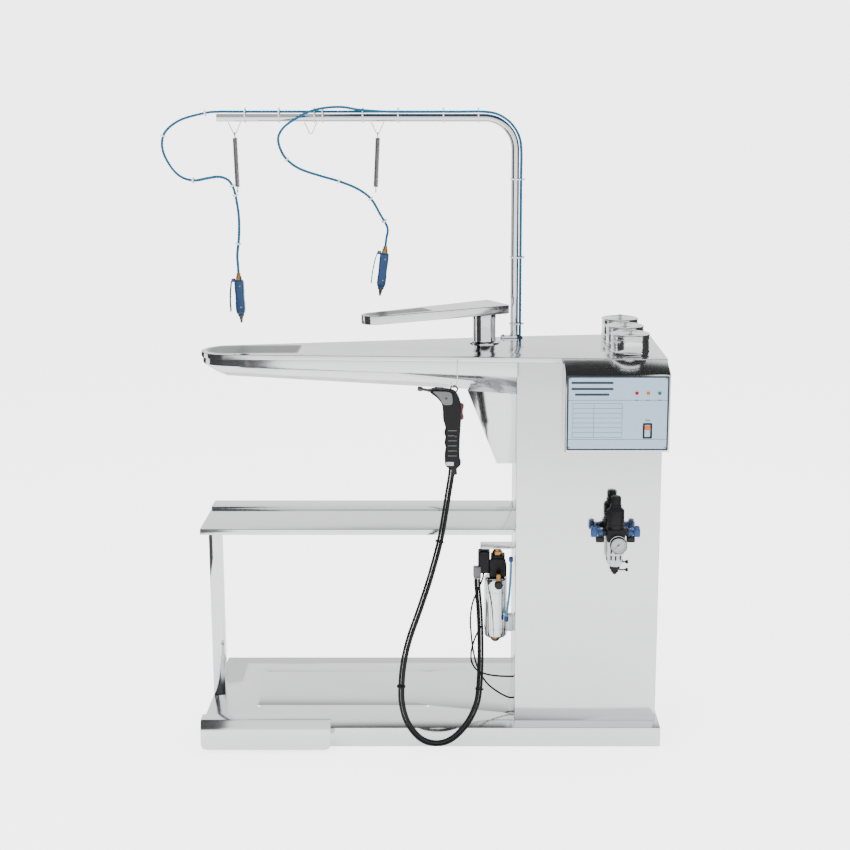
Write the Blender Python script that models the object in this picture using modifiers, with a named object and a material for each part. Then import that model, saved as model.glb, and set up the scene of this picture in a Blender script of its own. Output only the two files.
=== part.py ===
"""Stain-removal spotting table: a vacuum board and a swivel sleeve board on a sheet steel stand.

A gantry carries two spray guns, and a steam gun hangs from the board's front edge. Metres, +Z up.
The front faces -Y, and the origin is under the middle of the table, on the floor.
"""

import math

import bmesh
import bpy
from mathutils import Matrix, Vector

# Overall sizes
BASE_LENGTH = 1.103
BASE_DEPTH = 0.414
BASE_HEIGHT = 0.048
BOARD_HEIGHT = 0.950
SHELF_HEIGHT = 0.520
ARM_RISE = 0.537
FRONT_OVERHANG = 0.0675  # the lamps stand this far in front of the base

# Sheet metal and fits
SHEET = 0.002
THIN_SHEET = 0.0015
GAP = 0.0003
PIN_PLAY = 0.0003
JOINT_PLAY = 0.0010

# Base tray and pedal
TRAY_HOLE_RADIUS = 0.0045
TRAY_HOLE_SPACING_X = 0.4195
TRAY_HOLE_SPACING_Y = 0.200
TRAY_HOLE_INSET = 0.1225
PEDAL_INSET = 0.007
PEDAL_LENGTH = 0.308
PEDAL_TOP = 0.084
PEDAL_BOTTOM = 0.011
PEDAL_REACH = 0.040
PEDAL_PIN_RADIUS = 0.003
PEDAL_PIN_DEPTH = 0.035
PEDAL_PIN_HEIGHT = 0.021
PEDAL_ARM_INSET = 0.050
PEDAL_ARM_WIDTH = 0.006
PEDAL_ARM_HEIGHT = 0.010
LUG_THICKNESS = 0.003

# Stand
LEG_SIZE = 0.030
LEG_DEPTH = 0.200
SHELF_FRONT = 0.075
SHELF_REAR = 0.290
SHELF_STEP = 0.236
SHELF_STEP_RISE = 0.006
SHELF_LIP = 0.014
COLUMN_RIGHT_INSET = 0.0085
COLUMN_WIDTH = 0.3405
COLUMN_FRONT_DEPTH = 0.040
COLUMN_REAR_MARGIN = 0.0445  # in from the board's rear edge
COLUMN_RETURN = 0.010

# Main board
BOARD_RIGHT_INSET = 0.006
BOARD_LENGTH = 1.085
BOARD_WIDTH = 0.330
BOARD_FLANGE = 0.012
BOARD_CORNER = 0.003
NOSE_RADIUS = 0.0605
NOSE_DEPTH = 0.1115
REAR_BENDS = ((0.343, 0.040), (0.623, 0.090))  # from the right end, in from the rear edge
SCREEN_LENGTH = 0.207
SCREEN_MARGIN = 0.012
SCREEN_SPREAD = 0.018
SCREEN_CORNER = 0.008
SUCTION_HOLE_RADIUS = 0.003
PAN_DEPTH_NOSE = 0.026
PAN_DEPTH_COLUMN = 0.046
KEEL_DEPTH_NOSE = 0.055
KEEL_DEPTH_COLUMN = 0.107
HOPPER_BEND_DEPTH = 0.099
HOPPER_CLEARANCE = 0.156  # over the shelf
HOPPER_DEPTH = BOARD_HEIGHT - SHELF_HEIGHT - HOPPER_CLEARANCE

# Sleeve board
SLEEVE_PIVOT_LEFT = 0.0730  # from the column's left wall to the post's axis
SLEEVE_PIVOT_DEPTH = 0.207
SLEEVE_TURN = math.radians(31.3)
SLEEVE_TOP_RISE = 0.095
SLEEVE_BAND = 0.020
SLEEVE_REACH = 0.331
SLEEVE_TAIL = 0.043
SLEEVE_WIDE = 0.102
SLEEVE_NOSE_RADIUS = 0.030
SLEEVE_SCREEN_LENGTH = 0.165
POST_RADIUS = 0.0275
SPIGOT_LENGTH = 0.040

# Gantry
PIPE_RADIUS = 0.0095
PIPE_WALL = 0.0015
GANTRY_LEFT = 0.002  # the post's axis stands this far right of the column's left wall
GANTRY_MARGIN = 0.056  # in from the board's rear edge
GANTRY_DEPTH = BOARD_WIDTH - GANTRY_MARGIN
GANTRY_BEND = 0.075
ARM_REACH = 0.719
HOOK_WIRE = 0.00125
HOOK_WIDTH = 0.031
HOOK_DROP = 0.028
HOOK_PLACES = {"left": 0.6765, "middle": 0.4930, "right": 0.3320}  # left of the post
SPRING_RADIUS = 0.006
SPRING_LENGTH = 0.146
HOSE_RADIUS = 0.0055
HOSE_SPREAD = 0.0058

# Steam gun cords
STEAM_HOSE_RADIUS = 0.0045
STEAM_CABLE_RADIUS = 0.003
WIRE_RADIUS = 0.0022

# Control box
BOX_WIDTH = 0.236
BOX_FRONT_DEPTH = -0.063
BOX_BOTTOM_DROP = 0.202
BOX_TOP_DROP = 0.023
LAMP_DROP = 0.065
LAMP_SPACING = 0.0257
LAMP_RADIUS = 0.006
LAMP_SHANK = 0.004
ROCKER_DROP = 0.1522
ROCKER_WIDTH = 0.011
ROCKER_HEIGHT = 0.027
ROCKER_TILT = 8.0

# Air filter and regulator
REGULATOR_RIGHT = 0.1084  # in from the column's right wall
REGULATOR_STAND_OFF = 0.030
REGULATOR_DROP = 0.420  # below the board's top
REGULATOR_HEIGHT = BOARD_HEIGHT - REGULATOR_DROP
BLOCK_SIZE = 0.042
BONNET_RADIUS = 0.020
GAUGE_RADIUS = 0.020
NEEDLE_ZERO = math.radians(135)

# Reagent jars
JAR_FRONT_MARGIN = 0.060
JAR_REAR_MARGIN = 0.056
JAR_SPACING = 0.018  # between one jar's wall and the next
JAR_PITCH = (BOARD_WIDTH - JAR_FRONT_MARGIN - JAR_REAR_MARGIN) / 2
JAR_RADIUS = (JAR_PITCH - JAR_SPACING) / 2
JAR_HEIGHT = 0.046
JAR_WALL = 0.0012
JAR_RIGHT_INSET = 0.080
JAR_DEPTHS = tuple(JAR_FRONT_MARGIN + JAR_PITCH * step for step in range(3))

# Vacuum unit
MOTOR_RADIUS = 0.060
MOTOR_HEIGHT = 0.150
HOUSING_CLEARANCE = 0.00775  # to the column's front and rear
HOUSING_RADIUS = (BOARD_WIDTH - COLUMN_REAR_MARGIN - COLUMN_FRONT_DEPTH) / 2 - HOUSING_CLEARANCE
HOUSING_HEIGHT = 0.090
IMPELLER_CLEARANCE = 0.019
IMPELLER_RADIUS = HOUSING_RADIUS - IMPELLER_CLEARANCE
BLADE_ROOT = IMPELLER_RADIUS - 0.044
BLADE_TIP = IMPELLER_RADIUS - 0.006
INLET_RADIUS = 0.050
SHAFT_RADIUS = 0.008

# Derived places
BASE_FRONT = FRONT_OVERHANG - (BASE_DEPTH + FRONT_OVERHANG) / 2
BASE_LEFT = -BASE_LENGTH / 2
BASE_RIGHT = BASE_LENGTH / 2
COLUMN_RIGHT = BASE_RIGHT - COLUMN_RIGHT_INSET
COLUMN_LEFT = COLUMN_RIGHT - COLUMN_WIDTH
COLUMN_FRONT = BASE_FRONT + COLUMN_FRONT_DEPTH
COLUMN_REAR = BASE_FRONT + BOARD_WIDTH - COLUMN_REAR_MARGIN
BOARD_RIGHT = BASE_RIGHT - BOARD_RIGHT_INSET
NOSE_X = BOARD_RIGHT - BOARD_LENGTH + NOSE_RADIUS
BOARD_UNDER = BOARD_HEIGHT - SHEET
POST_X = COLUMN_LEFT + GANTRY_LEFT
POST_Y = BASE_FRONT + GANTRY_DEPTH
ARM_Z = BOARD_HEIGHT + ARM_RISE
SLEEVE_X = COLUMN_LEFT - SLEEVE_PIVOT_LEFT
SLEEVE_Y = BASE_FRONT + SLEEVE_PIVOT_DEPTH
SLEEVE_TOP = BOARD_HEIGHT + SLEEVE_TOP_RISE
SLEEVE_BOTTOM = SLEEVE_TOP - SLEEVE_BAND


def front(depth):
    """Y of a point this far behind the base's front edge."""
    return BASE_FRONT + depth


# Scene and materials

def new_collection(name):
    group = bpy.data.collections.new(name)
    bpy.context.scene.collection.children.link(group)
    return group


def finish(name, colour, roughness, metallic=0.0):
    material = bpy.data.materials.new(name)
    material.use_nodes = True
    shader = material.node_tree.nodes["Principled BSDF"]
    shader.inputs["Base Color"].default_value = (*colour, 1)
    shader.inputs["Roughness"].default_value = roughness
    shader.inputs["Metallic"].default_value = metallic
    return material


for old in list(bpy.data.objects):
    bpy.data.objects.remove(old, do_unlink=True)
PARTS = new_collection("spotting_table")
CUTTERS = new_collection("cutters")

STEEL = finish("polished_steel", (0.80, 0.81, 0.82), 0.08, 1.0)
SCREEN = finish("perforated_steel", (0.55, 0.56, 0.57), 0.25, 1.0)
CHROME = finish("chrome", (0.85, 0.85, 0.86), 0.05, 1.0)
ZINC = finish("zinc", (0.62, 0.63, 0.64), 0.35, 1.0)
GALVANISED = finish("galvanised", (0.60, 0.61, 0.63), 0.45, 1.0)
ALUMINIUM = finish("aluminium", (0.72, 0.73, 0.74), 0.35, 1.0)
BLUE_METAL = finish("blue_anodised", (0.11, 0.20, 0.42), 0.35, 0.6)
BLUE_HOSE = finish("blue_hose", (0.02, 0.17, 0.36), 0.35)
CYAN_HOSE = finish("cyan_hose", (0.03, 0.45, 0.70), 0.30)
BLACK_PLASTIC = finish("black_plastic", (0.02, 0.02, 0.022), 0.45)
BLACK_RUBBER = finish("black_rubber", (0.015, 0.015, 0.016), 0.55)
DARK_METAL = finish("dark_metal", (0.05, 0.05, 0.055), 0.35, 0.8)
RED_BUTTON = finish("red_button", (0.20, 0.01, 0.01), 0.25)
RED_LENS = finish("red_lens", (0.65, 0.02, 0.05), 0.15)
AMBER_LENS = finish("amber_lens", (0.75, 0.30, 0.03), 0.15)
GREEN_LENS = finish("green_lens", (0.02, 0.35, 0.25), 0.15)
ORANGE_LENS = finish("orange_lens", (0.85, 0.25, 0.04), 0.20)
WHITE_PLASTIC = finish("white_plastic", (0.85, 0.86, 0.86), 0.35)
CLEAR_BOWL = finish("clear_bowl", (0.80, 0.82, 0.84), 0.10)


# Building blocks

def place(name, data, material, at=(0, 0, 0), turn=(0, 0, 0), parent=None):
    obj = bpy.data.objects.new(name, data)
    PARTS.objects.link(obj)
    obj.location = at
    obj.rotation_euler = turn
    obj.parent = parent
    data.materials.append(material)
    return obj


def pivot(name, at, turn=(0, 0, 0)):
    empty = bpy.data.objects.new(name, None)
    PARTS.objects.link(empty)
    empty.location = at
    empty.rotation_euler = turn
    return empty


def helper(name, data, at=(0, 0, 0), turn=(0, 0, 0), parent=None):
    obj = bpy.data.objects.new(name, data)
    CUTTERS.objects.link(obj)
    obj.location = at
    obj.rotation_euler = turn
    obj.parent = parent
    obj.hide_render = True
    obj.display_type = "WIRE"
    return obj


def combine(obj, other, operation):
    boolean = obj.modifiers.new(operation.title(), "BOOLEAN")
    boolean.operation = operation
    boolean.object = other
    boolean.solver = "EXACT"
    return obj


def cut(obj, other):
    return combine(obj, other, "DIFFERENCE")


def join(obj, other):
    return combine(obj, other, "UNION")


def bevel(obj, width, segments=2):
    modifier = obj.modifiers.new("Bevel", "BEVEL")
    modifier.width = width
    modifier.segments = segments
    modifier.limit_method = "ANGLE"
    return obj


def mesh_of(name, shape):
    bmesh.ops.recalc_face_normals(shape, faces=shape.faces)
    mesh = bpy.data.meshes.new(name)
    shape.to_mesh(mesh)
    shape.free()
    return mesh


def smooth(mesh):
    mesh.shade_smooth()
    mesh.set_sharp_from_angle(angle=math.radians(35))
    return mesh


def add_box(shape, low, high):
    made = bmesh.ops.create_cube(shape, size=1.0)["verts"]
    bmesh.ops.scale(shape, vec=[b - a for a, b in zip(low, high)], verts=made)
    bmesh.ops.translate(shape, vec=[(a + b) / 2 for a, b in zip(low, high)], verts=made)


def add_rod(shape, start, end, radius, segments=16, end_radius=None):
    start, end = Vector(start), Vector(end)
    along = end - start
    facing = Vector((0, 0, 1)).rotation_difference(along).to_matrix().to_4x4()
    bmesh.ops.create_cone(
        shape, cap_ends=True, segments=segments, radius1=radius,
        radius2=radius if end_radius is None else end_radius, depth=along.length,
        matrix=Matrix.Translation((start + end) / 2) @ facing)


def boxes(name, *corners):
    shape = bmesh.new()
    for low, high in corners:
        add_box(shape, low, high)
    return mesh_of(name, shape)


def rods(name, *runs, segments=16):
    shape = bmesh.new()
    for start, end, radius in runs:
        add_rod(shape, start, end, radius, segments)
    return smooth(mesh_of(name, shape))


def loft(name, sections):
    """A closed solid through sections that have the same number of points."""
    shape = bmesh.new()
    rings = [[shape.verts.new(point) for point in section] for section in sections]
    for ring, following in zip(rings, rings[1:]):
        for index in range(len(ring)):
            after = (index + 1) % len(ring)
            shape.faces.new((ring[index], ring[after], following[after], following[index]))
    shape.faces.new(rings[0])
    shape.faces.new(rings[-1])
    return mesh_of(name, shape)


def turned_data(name, profile, closed=False):
    points = [(radius, 0, height) for radius, height in profile]
    edges = [(index, index + 1) for index in range(len(points) - 1)]
    if closed:
        edges.append((len(points) - 1, 0))
    mesh = bpy.data.meshes.new(name)
    mesh.from_pydata(points, edges, [])
    return mesh


def screw(obj, steps):
    modifier = obj.modifiers.new("Turn", "SCREW")
    modifier.steps = steps
    modifier.render_steps = steps
    modifier.use_merge_vertices = True
    modifier.merge_threshold = 0.0001
    modifier.use_smooth_shade = True
    return obj


def turned(name, profile, material, steps=24, closed=False, **where):
    """A turned piece: its profile of (radius, height) runs down the outer side."""
    return screw(place(name, turned_data(name, profile, closed), material, **where), steps)


def turned_helper(name, profile, steps=24, closed=False, **where):
    return screw(helper(name, turned_data(name, profile, closed), **where), steps)


def curve_data(name, points, radius, resolution=2, caps=True, radii=None):
    curve = bpy.data.curves.new(name, "CURVE")
    curve.dimensions = "3D"
    curve.bevel_depth = radius
    curve.bevel_resolution = resolution
    curve.use_fill_caps = caps
    spline = curve.splines.new("POLY")
    spline.points.add(len(points) - 1)
    for index, position in enumerate(points):
        spline.points[index].co = (*position, 1)
        spline.points[index].radius = radii[index] if radii else 1
    return curve


def settled_mesh(name, data, modify=None):
    """The mesh of a curve, with its caps welded on."""
    obj = bpy.data.objects.new(name, data)
    PARTS.objects.link(obj)
    if modify:
        modify(obj)
    bpy.context.view_layer.update()
    graph = bpy.context.evaluated_depsgraph_get()
    mesh = bpy.data.meshes.new_from_object(obj.evaluated_get(graph))
    mesh.name = name
    bpy.data.objects.remove(obj, do_unlink=True)
    shape = bmesh.new()
    shape.from_mesh(mesh)
    bmesh.ops.remove_doubles(shape, verts=shape.verts, dist=0.00001)
    shape.to_mesh(mesh)
    shape.free()
    return mesh


def slab(name, outline, low, high, rounding=0.0):
    """A flat outline made solid from one height to another."""
    curve = bpy.data.curves.new(name, "CURVE")
    curve.dimensions = "2D"
    curve.fill_mode = "BOTH"
    curve.extrude = (high - low) / 2 - rounding
    curve.bevel_depth = rounding
    curve.bevel_resolution = 1
    curve.offset = -rounding
    spline = curve.splines.new("POLY")
    spline.points.add(len(outline) - 1)
    for point, (x, y) in zip(spline.points, outline):
        point.co = (x, y, 0, 1)
    spline.use_cyclic_u = True
    mesh = settled_mesh(name, curve)
    mesh.transform(Matrix.Translation((0, 0, (low + high) / 2)))
    return mesh


def arc(centre, radius, start, end, steps):
    turns = [math.radians(start + (end - start) * step / steps) for step in range(steps + 1)]
    return [(centre[0] + radius * math.cos(turn), centre[1] + radius * math.sin(turn)) for turn in turns]


def inset(outline, distance):
    """The outline moved inwards by a distance. It runs anticlockwise."""
    moved = []
    for index, here in enumerate(outline):
        before = Vector(outline[index - 1])
        here = Vector(here)
        after = Vector(outline[(index + 1) % len(outline)])
        first = (here - before).normalized()
        second = (after - here).normalized()
        normals = Vector((-first.y, first.x)), Vector((-second.y, second.x))
        shared = 1 + normals[0].dot(normals[1])
        moved.append(tuple(here + (normals[0] + normals[1]) * distance / shared))
    return moved


def span_at(outline, x):
    """The lowest and highest Y where a vertical line at x crosses the outline."""
    crossings = []
    for index, (x1, y1) in enumerate(outline):
        x0, y0 = outline[index - 1]
        if (x0 - x) * (x1 - x) <= 0 and x0 != x1:
            crossings.append(y0 + (y1 - y0) * (x - x0) / (x1 - x0))
    return min(crossings), max(crossings)


def smooth_route(points, spacing):
    """Points about one spacing apart on a smooth curve through the given points."""
    places = [Vector(point) for point in points]
    ends = [places[0] * 2 - places[1], *places, places[-1] * 2 - places[-2]]
    fine = [places[0]]
    for before, here, there, after in zip(ends, ends[1:], ends[2:], ends[3:]):
        for step in range(1, 17):
            t = step / 16
            fine.append(0.5 * (2 * here + (there - before) * t
                               + (2 * before - 5 * here + 4 * there - after) * t * t
                               + (3 * here - before - 3 * there + after) * t ** 3))
    length = sum((b - a).length for a, b in zip(fine, fine[1:]))
    count = max(2, round(length / spacing))
    route = [fine[0]]
    walked = 0.0
    for a, b in zip(fine, fine[1:]):
        step = (b - a).length
        while len(route) < count and walked + step >= length * len(route) / count:
            route.append(a.lerp(b, (length * len(route) / count - walked) / step))
        walked += step
    route.append(fine[-1])
    return route


def beside(route, distance):
    """A route that runs next to another one in the plane facing the front."""
    moved = []
    for index, here in enumerate(route):
        before = route[max(index - 1, 0)]
        after = route[min(index + 1, len(route) - 1)]
        along = (after - before).normalized()
        moved.append(here + along.cross(Vector((0, 1, 0))).normalized() * distance)
    return moved


# Base tray and pedal

PEDAL_LEFT = BASE_LEFT + PEDAL_INSET
PEDAL_RIGHT = PEDAL_LEFT + PEDAL_LENGTH
PEDAL_PIN = (front(PEDAL_PIN_DEPTH), PEDAL_PIN_HEIGHT)
PEDAL_ARMS = (PEDAL_LEFT + PEDAL_ARM_INSET, PEDAL_RIGHT - PEDAL_ARM_INSET)


def base_tray():
    low = (BASE_LEFT, BASE_FRONT, 0)
    high = (BASE_RIGHT, BASE_FRONT + BASE_DEPTH, BASE_HEIGHT)
    tray = place("base_tray", boxes("base_tray", (low, high)), STEEL)
    hollow = boxes("tray_hollow", ((low[0] + SHEET, low[1] + SHEET, -SHEET),
                                   (high[0] - SHEET, high[1] - SHEET, BASE_HEIGHT - SHEET)))
    cut(tray, helper("tray_hollow", hollow))
    play = PEDAL_ARM_WIDTH / 2 + 2 * JOINT_PLAY
    slots = boxes("pedal_slots", *(((x - play, BASE_FRONT - SHEET, PEDAL_PIN_HEIGHT - 0.012),
                                    (x + play, BASE_FRONT + 2 * SHEET, PEDAL_PIN_HEIGHT + 0.008))
                                   for x in PEDAL_ARMS))
    cut(tray, helper("pedal_slots", slots))
    reach = LUG_THICKNESS + PEDAL_ARM_WIDTH / 2 + JOINT_PLAY
    half = 0.009
    lugs = []
    for x, side in zip(PEDAL_ARMS, (-1, 1)):
        near, far = sorted((x + side * (reach - LUG_THICKNESS), x + side * reach))
        lugs.append(((near, PEDAL_PIN[0] - half, PEDAL_PIN_HEIGHT - half),
                     (far, PEDAL_PIN[0] + half, BASE_HEIGHT - SHEET / 2)))
    join(tray, helper("pedal_lugs", boxes("pedal_lugs", *lugs)))
    bores = rods("lug_bores", *(((x - reach * 1.5, *PEDAL_PIN), (x + reach * 1.5, *PEDAL_PIN),
                                 PEDAL_PIN_RADIUS + PIN_PLAY) for x in PEDAL_ARMS))
    cut(tray, helper("lug_bores", bores))
    left = BASE_LEFT + TRAY_HOLE_INSET
    near = front((BASE_DEPTH - TRAY_HOLE_SPACING_Y) / 2 + 0.013)
    holes = rods("tray_holes", *(((x, y, BASE_HEIGHT - 3 * SHEET), (x, y, BASE_HEIGHT + SHEET), TRAY_HOLE_RADIUS)
                                 for x in (left, left + TRAY_HOLE_SPACING_X)
                                 for y in (near, near + TRAY_HOLE_SPACING_Y)), segments=12)
    cut(tray, helper("tray_holes", holes))


def foot_pedal():
    """A folded kick plate on two arms, whose stub pins turn in the tray's lugs."""
    hinge = pivot("pedal_hinge", (0, *PEDAL_PIN))
    face = BASE_FRONT - PEDAL_REACH
    middle = (PEDAL_TOP + PEDAL_BOTTOM) / 2
    fold = [(BASE_FRONT - SHEET, PEDAL_TOP), (face + 0.008, PEDAL_TOP), (face + 0.001, PEDAL_TOP - 0.016),
            (face, PEDAL_TOP - 0.019), (face - 0.002, middle), (face, PEDAL_BOTTOM + 0.006), (face, PEDAL_BOTTOM)]
    rise = 0.012
    ends = [(0.0, rise), (rise * 0.3, rise * 0.3), (rise, 0.0)]
    columns = [(PEDAL_LEFT + x, lift) for x, lift in ends]
    columns += [(PEDAL_RIGHT - x, lift) for x, lift in reversed(ends)]
    shape = bmesh.new()
    grid = []
    for x, lift in columns:
        heights = [max(z, PEDAL_BOTTOM + lift) - PEDAL_PIN_HEIGHT for y, z in fold]
        grid.append([shape.verts.new((x, y - PEDAL_PIN[0], z)) for (y, _), z in zip(fold, heights)])
    for first, second in zip(grid, grid[1:]):
        for row in range(len(fold) - 1):
            shape.faces.new((first[row], first[row + 1], second[row + 1], second[row]))
    bmesh.ops.remove_doubles(shape, verts=shape.verts, dist=0.00001)
    mesh = bpy.data.meshes.new("foot_pedal")
    shape.to_mesh(mesh)
    shape.free()
    pedal = place("foot_pedal", mesh, STEEL, parent=hinge)
    wall = pedal.modifiers.new("Wall", "SOLIDIFY")
    wall.thickness = SHEET
    wall.offset = -1
    half = PEDAL_ARM_WIDTH / 2
    start = face - PEDAL_PIN[0] + SHEET / 4
    arms = boxes("pedal_arms", *(((x - half, start, -PEDAL_ARM_HEIGHT / 2), (x + half, 0.006, PEDAL_ARM_HEIGHT / 2))
                                 for x in PEDAL_ARMS))
    join(pedal, helper("pedal_arms", arms, parent=hinge))
    reach = half + JOINT_PLAY + LUG_THICKNESS
    pins = rods("pedal_pins", *(((x, 0, 0), (x + side * reach, 0, 0), PEDAL_PIN_RADIUS)
                                for x, side in zip(PEDAL_ARMS, (-1, 1))))
    join(pedal, helper("pedal_pins", pins, parent=hinge))


# Stand

def support_leg():
    low = (BASE_LEFT, front(LEG_DEPTH) - LEG_SIZE / 2, BASE_HEIGHT + GAP)
    high = (BASE_LEFT + LEG_SIZE, front(LEG_DEPTH) + LEG_SIZE / 2, SHELF_HEIGHT - SHEET - GAP)
    leg = place("support_leg", boxes("support_leg", (low, high)), CHROME)
    bore = boxes("leg_bore", ((low[0] + THIN_SHEET, low[1] + THIN_SHEET, low[2] - SHEET),
                              (high[0] - THIN_SHEET, high[1] - THIN_SHEET, high[2] + SHEET)))
    cut(leg, helper("leg_bore", bore))


def lower_shelf():
    """A shelf with folded lips and a raised ledge along the rear."""
    left, right = BASE_LEFT, COLUMN_LEFT - GAP
    profile = [(SHELF_FRONT, -SHELF_LIP), (SHELF_FRONT, 0), (SHELF_STEP, 0), (SHELF_STEP, SHELF_STEP_RISE),
               (SHELF_REAR, SHELF_STEP_RISE), (SHELF_REAR, -SHELF_LIP),
               (SHELF_REAR - SHEET, -SHELF_LIP), (SHELF_REAR - SHEET, SHELF_STEP_RISE - SHEET),
               (SHELF_STEP + SHEET, SHELF_STEP_RISE - SHEET), (SHELF_STEP + SHEET, -SHEET),
               (SHELF_FRONT + SHEET, -SHEET), (SHELF_FRONT + SHEET, -SHELF_LIP)]
    sections = [[(x, front(depth), SHELF_HEIGHT + rise) for depth, rise in profile] for x in (left, right)]
    shelf = place("lower_shelf", loft("lower_shelf", sections), STEEL)
    corner = boxes("lip_corner", ((right - 0.006, front(SHELF_FRONT) - SHEET, SHELF_HEIGHT - SHELF_LIP - SHEET),
                                  (right + SHEET, front(SHELF_FRONT) + 2 * SHEET, SHELF_HEIGHT - SHELF_LIP / 2)))
    cut(shelf, helper("lip_corner", corner))


def column_shell():
    """Three folded walls with returns at the rear, open below, above and behind."""
    low, high = BASE_HEIGHT + GAP, BOARD_UNDER - GAP
    outer = boxes("column_shell", ((COLUMN_LEFT, COLUMN_FRONT, low), (COLUMN_RIGHT, COLUMN_REAR, high)))
    shell = place("column_shell", outer, STEEL)
    wall = THIN_SHEET
    hollow = boxes("column_hollow", ((COLUMN_LEFT + wall, COLUMN_FRONT + wall, low - wall),
                                     (COLUMN_RIGHT - wall, COLUMN_REAR - wall, high + wall)))
    cut(shell, helper("column_hollow", hollow))
    opening = boxes("rear_opening", ((COLUMN_LEFT + COLUMN_RETURN, COLUMN_REAR - 2 * wall, low - wall),
                                     (COLUMN_RIGHT - COLUMN_RETURN, COLUMN_REAR + wall, high + wall)))
    cut(shell, helper("rear_opening", opening))
    duct = boxes("duct_opening", ((COLUMN_LEFT - wall, *DUCT_LOW), (COLUMN_LEFT + 2 * wall, *DUCT_HIGH)))
    cut(shell, helper("duct_opening", duct))
    wires = rods("wire_holes", *(((COLUMN_LEFT - wall, front(depth), height),
                                  (COLUMN_LEFT + 2 * wall, front(depth), height), WIRE_RADIUS * 1.8)
                                 for depth, height in WIRE_HOLES), segments=12)
    cut(shell, helper("wire_holes", wires))


DUCT_LOW = (front(0.110), BOARD_HEIGHT - 0.250)
DUCT_HIGH = (front(0.190), BOARD_HEIGHT - 0.120)
WIRE_HOLES = ((0.120, 0.070), (0.150, 0.112))


def rear_cover():
    low = (COLUMN_LEFT, COLUMN_REAR + GAP, BASE_HEIGHT + GAP)
    high = (COLUMN_RIGHT, COLUMN_REAR + GAP + THIN_SHEET, BOARD_UNDER - GAP)
    cover = place("column_rear_cover", boxes("column_rear_cover", (low, high)), STEEL)
    middle = (COLUMN_LEFT + COLUMN_RIGHT) / 2
    half, slot, pitch, start, count = 0.060, 0.006, 0.016, 0.200, 9
    vents = boxes("vent_slots", *(((middle - half, low[1] - SHEET, start + pitch * row),
                                   (middle + half, high[1] + SHEET, start + pitch * row + slot))
                                  for row in range(count)))
    cut(cover, helper("vent_slots", vents))


# Main board

def board_outline():
    rear = BASE_FRONT + BOARD_WIDTH
    corner = BOARD_CORNER
    outline = arc((BOARD_RIGHT - corner, BASE_FRONT + corner), corner, -90, 0, 3)
    outline += arc((BOARD_RIGHT - corner, rear - corner), corner, 0, 90, 3)
    outline += [(BOARD_RIGHT - along, rear - across) for along, across in REAR_BENDS]
    return outline + arc((NOSE_X, front(NOSE_DEPTH)), NOSE_RADIUS, 95, 272, 10)


def screen_outline():
    """The perforated zone: it follows the nose, and its margin grows away from it."""
    radius = NOSE_RADIUS - SCREEN_MARGIN
    centre = (NOSE_X, front(NOSE_DEPTH) + 0.004)
    right = NOSE_X - radius + SCREEN_LENGTH + SCREEN_MARGIN
    edge = inset(board_outline(), SCREEN_MARGIN + SCREEN_SPREAD)
    low, high = span_at(edge, right)
    corner = SCREEN_CORNER
    outline = arc((right - corner, low + corner), corner, -90, 0, 3)
    outline += arc((right - corner, high - corner), corner, 0, 90, 3)
    return outline + arc(centre, radius, 92, 268, 10)


def board_top():
    outline = board_outline()
    board = place("board_top", slab("board_top", outline, BOARD_HEIGHT - BOARD_FLANGE, BOARD_HEIGHT), STEEL)
    under = slab("board_under", inset(outline, SHEET), BOARD_HEIGHT - BOARD_FLANGE - SHEET, BOARD_UNDER)
    cut(board, helper("board_under", under))
    window = slab("screen_window", inset(screen_outline(), -GAP), BOARD_UNDER - SHEET, BOARD_HEIGHT + SHEET)
    cut(board, helper("screen_window", window))
    half = (HOSE_RADIUS + GAP, HOSE_RADIUS + HOSE_SPREAD + GAP)
    hole = boxes("hose_hole", ((HOSE_X - half[0], POST_Y - half[1], BOARD_UNDER - SHEET),
                               (HOSE_X + half[0], POST_Y + half[1], BOARD_HEIGHT + SHEET)))
    cut(board, helper("hose_hole", hole))


def board_screen():
    outline = screen_outline()
    screen = place("board_screen", slab("board_screen", outline, BOARD_UNDER, BOARD_HEIGHT), SCREEN)
    holes = suction_holes(outline, 0.032, 0.014, BOARD_UNDER - SHEET, BOARD_HEIGHT + SHEET)
    cut(screen, helper("screen_holes", holes))


def suction_holes(outline, pitch, margin, low, high):
    """A coarse grid of holes through a screen, kept clear of its edge."""
    left = min(x for x, y in outline) + margin
    right = max(x for x, y in outline) - margin
    count = int((right - left) / pitch)
    runs = []
    for column in range(count + 1):
        x = left + (right - left) * column / count
        near, far = span_at(outline, x)
        rows = int((far - near - 2 * margin) / pitch)
        middle = (near + far) / 2
        runs += [((x, middle + (row - rows / 2) * pitch, low), (x, middle + (row - rows / 2) * pitch, high),
                  SUCTION_HOLE_RADIUS) for row in range(max(rows, 0) + 1)]
    return rods("holes", *runs, segments=6)


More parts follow.
